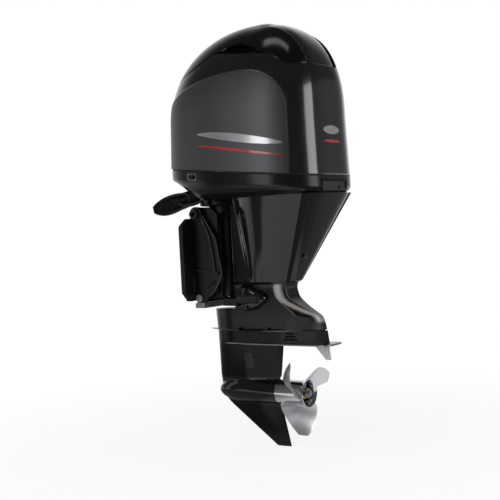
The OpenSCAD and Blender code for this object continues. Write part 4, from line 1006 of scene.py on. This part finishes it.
inner_tube("harness", 0.70, -2.0, 2.0, 12.5, 1.2)
inner_tube("harness_lead_fuel", 0.66, 13.0, -8.0, 4.5, 0.0, 20)
inner_tube("harness_lead_battery", 0.74, -15.5, -6.0, 5.0, 0.0, 20)

# %% [markdown]
# ## Rims of the clamp brackets
# The cast brackets have a rounded rim along the rear edge, along the curved rib
# and along the shelf. Each rim is a thin tube on the edge it rounds, partly lit
# by the lamps and partly a painted highlight, being a paler black than the bracket.

# %% Bracket rims
WEB_FACE, RIB_FACE, RIM_R = 108.0, 115.5, 3.4
RIMS = {"edge": ([[56, 58], [84, 18], [104, -14], [118, -39], [130, -110], [139, -166], [112, -220],
                  [80, -252]], WEB_FACE),
        "rib": ([[59, 44], [87, -9], [100, -60], [108, -110], [113, -160]], RIB_FACE),
        "shelf": ([[20, -151], [75, -159], [130, -167]], RIB_FACE)}


def rim_path(knots, y):
    """Smooth path through x, z knots on the plane at y."""
    x, z = np.asarray(knots, float).T
    return smooth_path(np.stack([x, np.full_like(x, y), z], axis=-1), 60)


for side, name in SIDES:
    for part, (knots, face) in RIMS.items():
        path = rim_path(knots, side * (face - 1.5))
        tube_piece("rim_%s_%s" % (part, name), path, RIM_R, 16, "transom_bracket", "rim_black")

# %% [markdown]
# ## Lower mount covers
# A low rounded cover on each flank holds a rubber mount. The outline is carried
# inwards in rings while its height rises along a quarter superellipse.

# %% Mount covers
MOUNT_Z, PAD_Y, COVER_TOP = -265.0, 61.0, 94.0
COVER_PTS = np.array([[204, 50], [230, 50], [252, 47], [290, 28], [311, 4], [306, -14], [280, -34],
                      [244, -48], [204, -46], [203, 0]], float) + [0, MOUNT_Z]
cover_loop = smooth_path(np.concatenate([COVER_PTS, COVER_PTS[:1]]), 121)[:-1]
cover_centre = np.array([246.0, MOUNT_Z + 1])


def cover_rings(side):
    """Rings shrinking to the centre by k, with height top * (1 - k^5)^(1/2)."""
    k = np.sin(np.linspace(1, 0.02, 26) * np.pi / 2)[:, None, None]
    xz = mix(cover_centre, cover_loop[None], k)
    y = PAD_Y - 5 + (COVER_TOP - PAD_Y + 5) * np.sqrt(1 - k[..., 0] ** 5)
    rings = np.stack([xz[..., 0], side * y + 0 * xz[..., 0], xz[..., 1]], axis=-1)
    return rings[:, ::-1] if side > 0 else rings


def cover_pole(y):
    """Point on the cover's centre line at the given y."""
    return [cover_centre[0], y, cover_centre[1]]


covers = [bowl_piece("mount_cover_" + name, cover_rings(side), cover_pole(side * (PAD_Y - 5)),
                     cover_pole(side * COVER_TOP), "engine", "satin_black")
          for side, name in SIDES]
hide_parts("lower_mount_covers")

# %% [markdown]
# ## Finishes
# Every finish varies a little over the surface: broad clouds in its colour and a
# fine grain in its gloss and relief. That variation is one node group, placed in
# each material with its own values; the shader itself stays in the material.

# %% Surface variation group
NOISE_SPAN = (0.3, 0.7)


def set_range(node, ends, low, high):
    """Write a span into a Map Range node: ends is From or To."""
    node.inputs[ends + " Min"].default_value, node.inputs[ends + " Max"].default_value = low, high


def put(node, values):
    """Write values into a node's inputs by name."""
    for name, value in values.items():
        node.inputs[name].default_value = value


def add(tree, *kinds):
    """New shader nodes of the given kinds."""
    return [tree.nodes.new("ShaderNode" + kind) for kind in kinds]


def variation_group():
    """Colour clouds, grained roughness and a relief height from two noises."""
    tree = bpy.data.node_groups.new("surface_variation", "ShaderNodeTree")
    for way, kind, names in (("INPUT", "Vector", ["Vector"]), ("INPUT", "Color", ["Base", "Tint"]),
                             ("INPUT", "Float", ["Cloud Scale", "Grain Scale", "Rough Low", "Rough High"]),
                             ("OUTPUT", "Color", ["Color"]), ("OUTPUT", "Float", ["Roughness", "Height"])):
        for name in names:
            tree.interface.new_socket(name, in_out=way, socket_type="NodeSocket" + kind)
    link = tree.links.new
    enter, leave = tree.nodes.new("NodeGroupInput").outputs, tree.nodes.new("NodeGroupOutput").inputs
    cloud, grain, blend, spread, gloss = add(tree, "TexNoise", "TexNoise", "Mix", "MapRange", "MapRange")
    put(cloud, {"Detail": 4.0})
    put(grain, {"Detail": 2.0})
    blend.data_type = "RGBA"
    set_range(spread, "From", *NOISE_SPAN)
    set_range(gloss, "From", *NOISE_SPAN)
    link(enter["Vector"], cloud.inputs["Vector"])
    link(enter["Vector"], grain.inputs["Vector"])
    link(enter["Cloud Scale"], cloud.inputs["Scale"])
    link(enter["Grain Scale"], grain.inputs["Scale"])
    link(cloud.outputs["Fac"], spread.inputs["Value"])
    link(spread.outputs["Result"], blend.inputs["Factor"])
    link(enter["Base"], blend.inputs["A"])
    link(enter["Tint"], blend.inputs["B"])
    link(grain.outputs["Fac"], gloss.inputs["Value"])
    link(enter["Rough Low"], gloss.inputs["To Min"])
    link(enter["Rough High"], gloss.inputs["To Max"])
    link(blend.outputs["Result"], leave["Color"])
    link(gloss.outputs["Result"], leave["Roughness"])
    link(grain.outputs["Fac"], leave["Height"])
    return tree


VARIATION = variation_group()
print("group outputs:", [s.name for s in VARIATION.interface.items_tree if s.in_out == "OUTPUT"])

# %% [markdown]
# A finish is then a short list: two near colours, the size of the clouds and the
# grain, a span of roughness, how deep the grain is, and the shader's own metal,
# coat and specular values. A zone changes a finish where a vertex attribute says so.

# %% Finish builder
BUMP_STRENGTH = 0.6


def finish(name, base, tint, cloud, grain, rough, relief, specular=0.5, metal=0.0, coat=0.0, coat_rough=0.05):
    """Material: the variation group feeding a Principled shader, with a fine bump."""
    material = bpy.data.materials.new(name)
    material.use_nodes = True
    nodes, link = material.node_tree.nodes, material.node_tree.links.new
    shader = nodes["Principled BSDF"]
    place, vary, bump = add(material.node_tree, "TexCoord", "Group", "Bump")
    vary.node_tree = VARIATION
    put(vary, {"Base": (*base, 1), "Tint": (*tint, 1), "Cloud Scale": cloud, "Grain Scale": grain,
               "Rough Low": rough[0], "Rough High": rough[1]})
    put(bump, {"Distance": relief * MM, "Strength": BUMP_STRENGTH})
    put(shader, {"Metallic": metal, "Coat Weight": coat, "Coat Roughness": coat_rough,
                 "Specular IOR Level": specular})
    link(place.outputs["Object"], vary.inputs["Vector"])
    link(vary.outputs["Color"], shader.inputs["Base Color"])
    link(vary.outputs["Roughness"], shader.inputs["Roughness"])
    link(vary.outputs["Height"], bump.inputs["Height"])
    link(bump.outputs["Normal"], shader.inputs["Normal"])
    return material


def grey(v):
    """Neutral colour of value v with a trace of blue."""
    return (v, v * 1.02, v * 1.05)


def zoned(material, attribute, colour, rougher, coat, metal):
    """Inside the zone of a vertex attribute: another colour, more roughness, another coat and metal."""
    nodes, link = material.node_tree.nodes, material.node_tree.links.new
    shader = nodes["Principled BSDF"]
    zone, tone, rough, film, flake = add(material.node_tree, "Attribute", "Mix", "Math", "MapRange", "MapRange")
    zone.attribute_name = attribute
    tone.data_type = "RGBA"
    tone.inputs["B"].default_value = (*colour, 1)
    rough.operation = "MULTIPLY_ADD"
    rough.inputs[1].default_value = rougher
    set_range(film, "To", shader.inputs["Coat Weight"].default_value, coat)
    set_range(flake, "To", shader.inputs["Metallic"].default_value, metal)
    link(zone.outputs["Fac"], tone.inputs["Factor"])
    link(shader.inputs["Base Color"].links[0].from_socket, tone.inputs["A"])
    link(zone.outputs["Fac"], rough.inputs[0])
    link(shader.inputs["Roughness"].links[0].from_socket, rough.inputs[2])
    link(zone.outputs["Fac"], film.inputs["Value"])
    link(tone.outputs["Result"], shader.inputs["Base Color"])
    link(rough.outputs[0], shader.inputs["Roughness"])
    link(film.outputs["Result"], shader.inputs["Coat Weight"])
    link(zone.outputs["Fac"], flake.inputs["Value"])
    link(flake.outputs["Result"], shader.inputs["Metallic"])


LOOKS = {
    "cowl_paint": (grey(0.004), grey(0.006), 3, 900, (0.16, 0.22), 0.01, 0.5, 0.1, 0.6, 0.08),
    "gloss_trim": (grey(0.002), grey(0.003), 4, 300, (0.13, 0.18), 0.004, 0.28),
    "satin_black": (grey(0.004), grey(0.006), 6, 700, (0.08, 0.13), 0.008),
    "gear_black": (grey(0.003), grey(0.005), 6, 700, (0.14, 0.19), 0.008, 0.18, 0, 0, 0.06),
    "slot_black": (grey(0.003), grey(0.005), 6, 700, (0.14, 0.19), 0.008, 0.18),
    "plate_black": (grey(0.003), grey(0.005), 6, 700, (0.14, 0.19), 0.008, 0.3),
    # near-black and dull: painted shade on the apron's corner strips; also the finish of the latch frame and
    # the steering collar
    "joint_and_shade_black": (grey(0.001), grey(0.002), 8, 600, (0.30, 0.38), 0.010, 0.12),
    "leg_black": (grey(0.004), grey(0.006), 6, 700, (0.17, 0.23), 0.008, 0.35),
    "tray_paint": (grey(0.004), grey(0.006), 5, 800, (0.20, 0.28), 0.01, 0.25),
    "sleeve_rubber": (grey(0.006), grey(0.010), 14, 900, (0.42, 0.60), 0.06, 0.35),
    # paler than bracket_black: painted highlight on the rounded bracket rims
    "rim_black": (grey(0.012), grey(0.020), 9, 600, (0.20, 0.28), 0.02),
    "bracket_black": (grey(0.003), grey(0.005), 9, 600, (0.34, 0.48), 0.06, 0.35),
    "black_plastic": (grey(0.006), grey(0.010), 9, 1200, (0.42, 0.60), 0.05),
    "rubber": (grey(0.007), grey(0.011), 14, 900, (0.50, 0.70), 0.06, 0.35),
    "steel": (grey(0.42), grey(0.50), 20, 600, (0.24, 0.38), 0.02, 0.5, 1.0),
    "dark_steel": (grey(0.03), grey(0.05), 20, 600, (0.30, 0.44), 0.03, 0.5, 0.9),
    "polished_steel": (grey(0.60), grey(0.66), 9, 500, (0.10, 0.20), 0.008, 0.5, 1.0),
    "blade_steel": (grey(0.62), grey(0.68), 9, 500, (0.34, 0.44), 0.02, 0.5, 0.9),
    "zinc": (grey(0.46), grey(0.56), 12, 500, (0.50, 0.66), 0.08, 0.5, 0.3),
    "bronze": ((0.42, 0.27, 0.09), (0.50, 0.34, 0.13), 15, 600, (0.28, 0.42), 0.02, 0.5, 1.0),
    "cast_alloy": (grey(0.20), grey(0.26), 11, 450, (0.50, 0.68), 0.10, 0.5, 0.7),
    "dark_iron": (grey(0.05), grey(0.07), 11, 500, (0.45, 0.62), 0.08, 0.5, 0.6),
    "bush_plastic": ((0.55, 0.54, 0.49), (0.62, 0.61, 0.56), 18, 700, (0.42, 0.55), 0.03),
    "filter_paint": (grey(0.55), grey(0.62), 8, 600, (0.25, 0.35), 0.02),
    "silver_film": (grey(0.40), grey(0.45), 6, 900, (0.22, 0.32), 0.005, 0.5, 0.7, 0.6),
    "red_film": ((0.34, 0.012, 0.014), (0.40, 0.018, 0.018), 6, 900, (0.25, 0.35), 0.005, 0.5, 0, 0.6),
}
ZONES = {
    "cowl_paint": ("panel", grey(0.078), 0.26, 0.0, 0.75),
    "gear_black": ("pod", grey(0.004), -0.05, 0.9, 0.0),
    # painted shade: darker inside the exhaust slots
    "slot_black": ("slot", grey(0.0004), 0.5, 0.0, 0.0),
    # painted highlight: paler metallic grey on the plate's rim
    "plate_black": ("edge", grey(0.22), 0.1, 0.0, 0.6),
    # painted highlight: pale warm grey on the leg's rear bevel
    "leg_black": ("bevel", (0.44, 0.42, 0.40), 0.25, 0.0, 0.3),
    # painted shade: darker inside the sleeve's bore
    "sleeve_rubber": ("bore", grey(0.001), 0.3, 0.0, 0.0),
}
FINISH = {name: finish(name, *look) for name, look in LOOKS.items()}
for name, zone in ZONES.items():
    zoned(FINISH[name], *zone)
CAST_NODES = ("clamp_bracket_port", "clamp_bracket_starboard", "swivel_bracket", "steering_yoke", "lower_yoke",
              "ptt_cylinder", "ptt_motor")
STEEL_NODES = ("lower_mount_bolts", "gearcase_screws", "tilt_tube", "tilt_tube_nuts")
NODE_LOOK = {**dict.fromkeys(CAST_NODES, "bracket_black"), **dict.fromkeys(STEEL_NODES, "dark_steel"),
             "ptt_pin": "cast_alloy", "bracket_anode": "cast_alloy"}
node_slot = {s["node"]: s["material_slot"] for s in frame["record"]["subparts"]}
for name, node in frame["nodes"].items():
    node.data.materials.clear()
    node.data.materials.append(FINISH[NODE_LOOK.get(name, node_slot[name])])
for name, look in PIECE_FINISH.items():
    bpy.data.objects[name].data.materials.append(FINISH[look])
print("finishes:", len(FINISH), "dressed nodes:", len(frame["nodes"]), "pieces:", len(PIECE_FINISH))

# %% [markdown]
# ## Studio
# The floor and background are white to the camera. Mirror and see-through rays
# find them white behind the object and dim on the camera's side, as in a studio,
# apart from a lit patch of floor to port that the paint mirrors. Other rays get a
# softer room light.

# %% Floor and world
FLOOR_Z, FLOOR_HALF, LIT_FLOOR, ROOM_LIGHT = SKEG_Z - 1.5, 30000.0, 0.95, 0.45
floor_mesh = bpy.data.meshes.new("floor")
floor_points = np.array([[-1, -1, 0], [1, -1, 0], [1, 1, 0], [-1, 1, 0]]) * FLOOR_HALF + [0, 0, FLOOR_Z]
floor_mesh.from_pydata((floor_points * MM).tolist(), [], [[0, 1, 2, 3]])
floor = bpy.data.objects.new("floor", floor_mesh)
bpy.context.scene.collection.objects.link(floor)


def joined(tree, operation, *values):
    """Chain of one Math operation over two or more values."""
    total = values[0]
    for value in values[1:]:
        step, = add(tree, "Math")
        step.operation = operation
        tree.links.new(total, step.inputs[0])
        tree.links.new(value, step.inputs[1])
        total = step.outputs[0]
    return total


def seen_rays(tree):
    """Mask of the rays that look at the backdrop: camera, glossy or transmission."""
    path, = add(tree, "LightPath")
    rays = [path.outputs["Is %s Ray" % kind] for kind in ("Camera", "Glossy", "Transmission")]
    return joined(tree, "MAXIMUM", *rays)


def eased_range(tree, value, span, dark, light):
    """Smooth step from dark to light while a value crosses a span."""
    ramp, = add(tree, "MapRange")
    ramp.interpolation_type = "SMOOTHSTEP"
    set_range(ramp, "From", *span)
    set_range(ramp, "To", dark, light)
    tree.links.new(value, ramp.inputs["Value"])
    return ramp.outputs["Result"]


def measured(tree, coordinate, operation, vector):
    """One number from a coordinate and a fixed vector: their dot product or their distance."""
    place, sum_up = add(tree, "TexCoord", "VectorMath")
    sum_up.operation = operation
    sum_up.inputs[1].default_value = vector
    tree.links.new(place.outputs[coordinate], sum_up.inputs[0])
    return sum_up.outputs["Value"]


def facing(tree, coordinate, direction, span, dark, light):
    """Strength easing from dark to light as a coordinate's share along a direction crosses a span."""
    return eased_range(tree, measured(tree, coordinate, "DOT_PRODUCT", direction), span, dark, light)


def white_to_camera(tree, strength):
    """White to the camera; to other rays the given strength."""
    path, = add(tree, "LightPath")
    return joined(tree, "MAXIMUM", path.outputs["Is Camera Ray"], strength)


def shared(tree, first, second, portion, output):
    """Mix two shaders by a portion and lead the result to an output node."""
    share, = add(tree, "MixShader")
    tree.links.new(portion, share.inputs["Fac"])
    tree.links.new(first.outputs[0], share.inputs[1])
    tree.links.new(second.outputs[0], share.inputs[2])
    tree.links.new(share.outputs[0], tree.nodes[output].inputs["Surface"])


white_floor = bpy.data.materials.new("white_floor")
white_floor.use_nodes = True
tree = white_floor.node_tree
tree.nodes.remove(tree.nodes["Principled BSDF"])
matt, glow = add(tree, "BsdfDiffuse", "Emission")
matt.inputs["Color"].default_value = (0.85, 0.85, 0.85, 1)
reach = measured(tree, "Object", "DISTANCE", (0.25, 0.0, FLOOR_Z * MM))
fade = eased_range(tree, reach, (0.4, 2.2), 0.86, 1.0)
FLOOR_ZONES = {                        # direction, span in metres, value before and after it
    "side": ((0.695, -0.719, 0), (0.33, 0.42), 0.0, LIT_FLOOR),
    "close": ((1, 0, 0), (0.0, 0.4), 0.0, LIT_FLOOR),
    "near": ((0.277, 0.961, 0), (-1.44, -1.36), 0.0, LIT_FLOOR),
    "beyond": ((0, -1, 0), (0.95, 1.05), 0.0, 1.0),
    "before_stern": ((-1, 0, 0), (-1.2, -0.8), 0.0, 1.0),
    "within": ((0, 1, 0), (-2.9, -2.3), 0.0, 1.0),
    "this_side": ((0, -1, 0), (-0.9, -0.4), 0.2, 1.0),
    "far": (tuple(-back), (0.2, 3.0), 0.12, 1.0)}
zone = {name: facing(tree, "Object", *row) for name, row in FLOOR_ZONES.items()}
lit_near = joined(tree, "MULTIPLY", zone["near"], zone["beyond"])
lit_floor = joined(tree, "MAXIMUM", zone["side"], zone["close"], lit_near)
lit_floor = joined(tree, "MULTIPLY", lit_floor, zone["before_stern"], zone["within"], zone["this_side"])
strength = white_to_camera(tree, joined(tree, "MAXIMUM", zone["far"], lit_floor))
tree.links.new(strength, glow.inputs["Strength"])
shared(tree, matt, glow, joined(tree, "MULTIPLY", seen_rays(tree), fade), "Material Output")
floor_mesh.materials.append(white_floor)

world = bpy.data.worlds.new("studio")
bpy.context.scene.world = world
world.use_nodes = True
tree = world.node_tree
sky = tree.nodes["Background"]
backdrop, = add(tree, "Background")
put(backdrop, {"Color": (1, 1, 1, 1)})
put(sky, {"Color": (1, 1, 1, 1), "Strength": ROOM_LIGHT})
behind = facing(tree, "Generated", tuple(-back), (0.45, 0.95), 0.08, 1.0)
tree.links.new(white_to_camera(tree, behind), backdrop.inputs["Strength"])
shared(tree, sky, backdrop, seen_rays(tree), "World Output")
print("floor at", FLOOR_Z)

# %% [markdown]
# Large soft lamps put long reflections on the dark paint: a large one and a low
# one to port with a dark gap between them, a dim one at the bow, a bright and a
# dim one astern, and one overhead.

# %% Lamps


def soft_lamp(name, place, aim, width, height, radiance):
    """Area lamp of an even radiance: power = radiance * pi * area."""
    lamp = bpy.data.lights.new(name, "AREA")
    lamp.shape = "RECTANGLE"
    lamp.size, lamp.size_y = width * MM, height * MM
    lamp.energy = radiance * np.pi * lamp.size * lamp.size_y
    holder = bpy.data.objects.new(name, lamp)
    z = unit(np.asarray(place, float) - np.asarray(aim, float))
    x = unit(np.cross([0, 0, 1.0], z))
    holder.matrix_world = placed(x, np.cross(z, x), z, place)
    bpy.context.scene.collection.objects.link(holder)
    return holder


soft_lamp("port_softbox", [-631, -3593, 700], [240, -100, 400], 1400, 3000, 2.9)
soft_lamp("low_softbox", [335, -1599, -478], [400, -100, -350], 665, 500, 1.15)
soft_lamp("bow_softbox", [-1469, -834, 100], [200, -160, 0], 480, 1750, 0.5)
soft_lamp("stern_strip", [4109, 983, 450], [580, -130, 300], 1640, 2400, 4.2)
soft_lamp("stern_softbox", [2950, 3240, 400], [560, 0, 300], 2600, 2400, 0.14)
soft_lamp("top_softbox", [500, -900, 3800], [350, 0, 400], 3200, 700, 3.2)
bpy.context.scene.view_settings.view_transform = "Standard"
print("lamps:", len(bpy.data.lights))
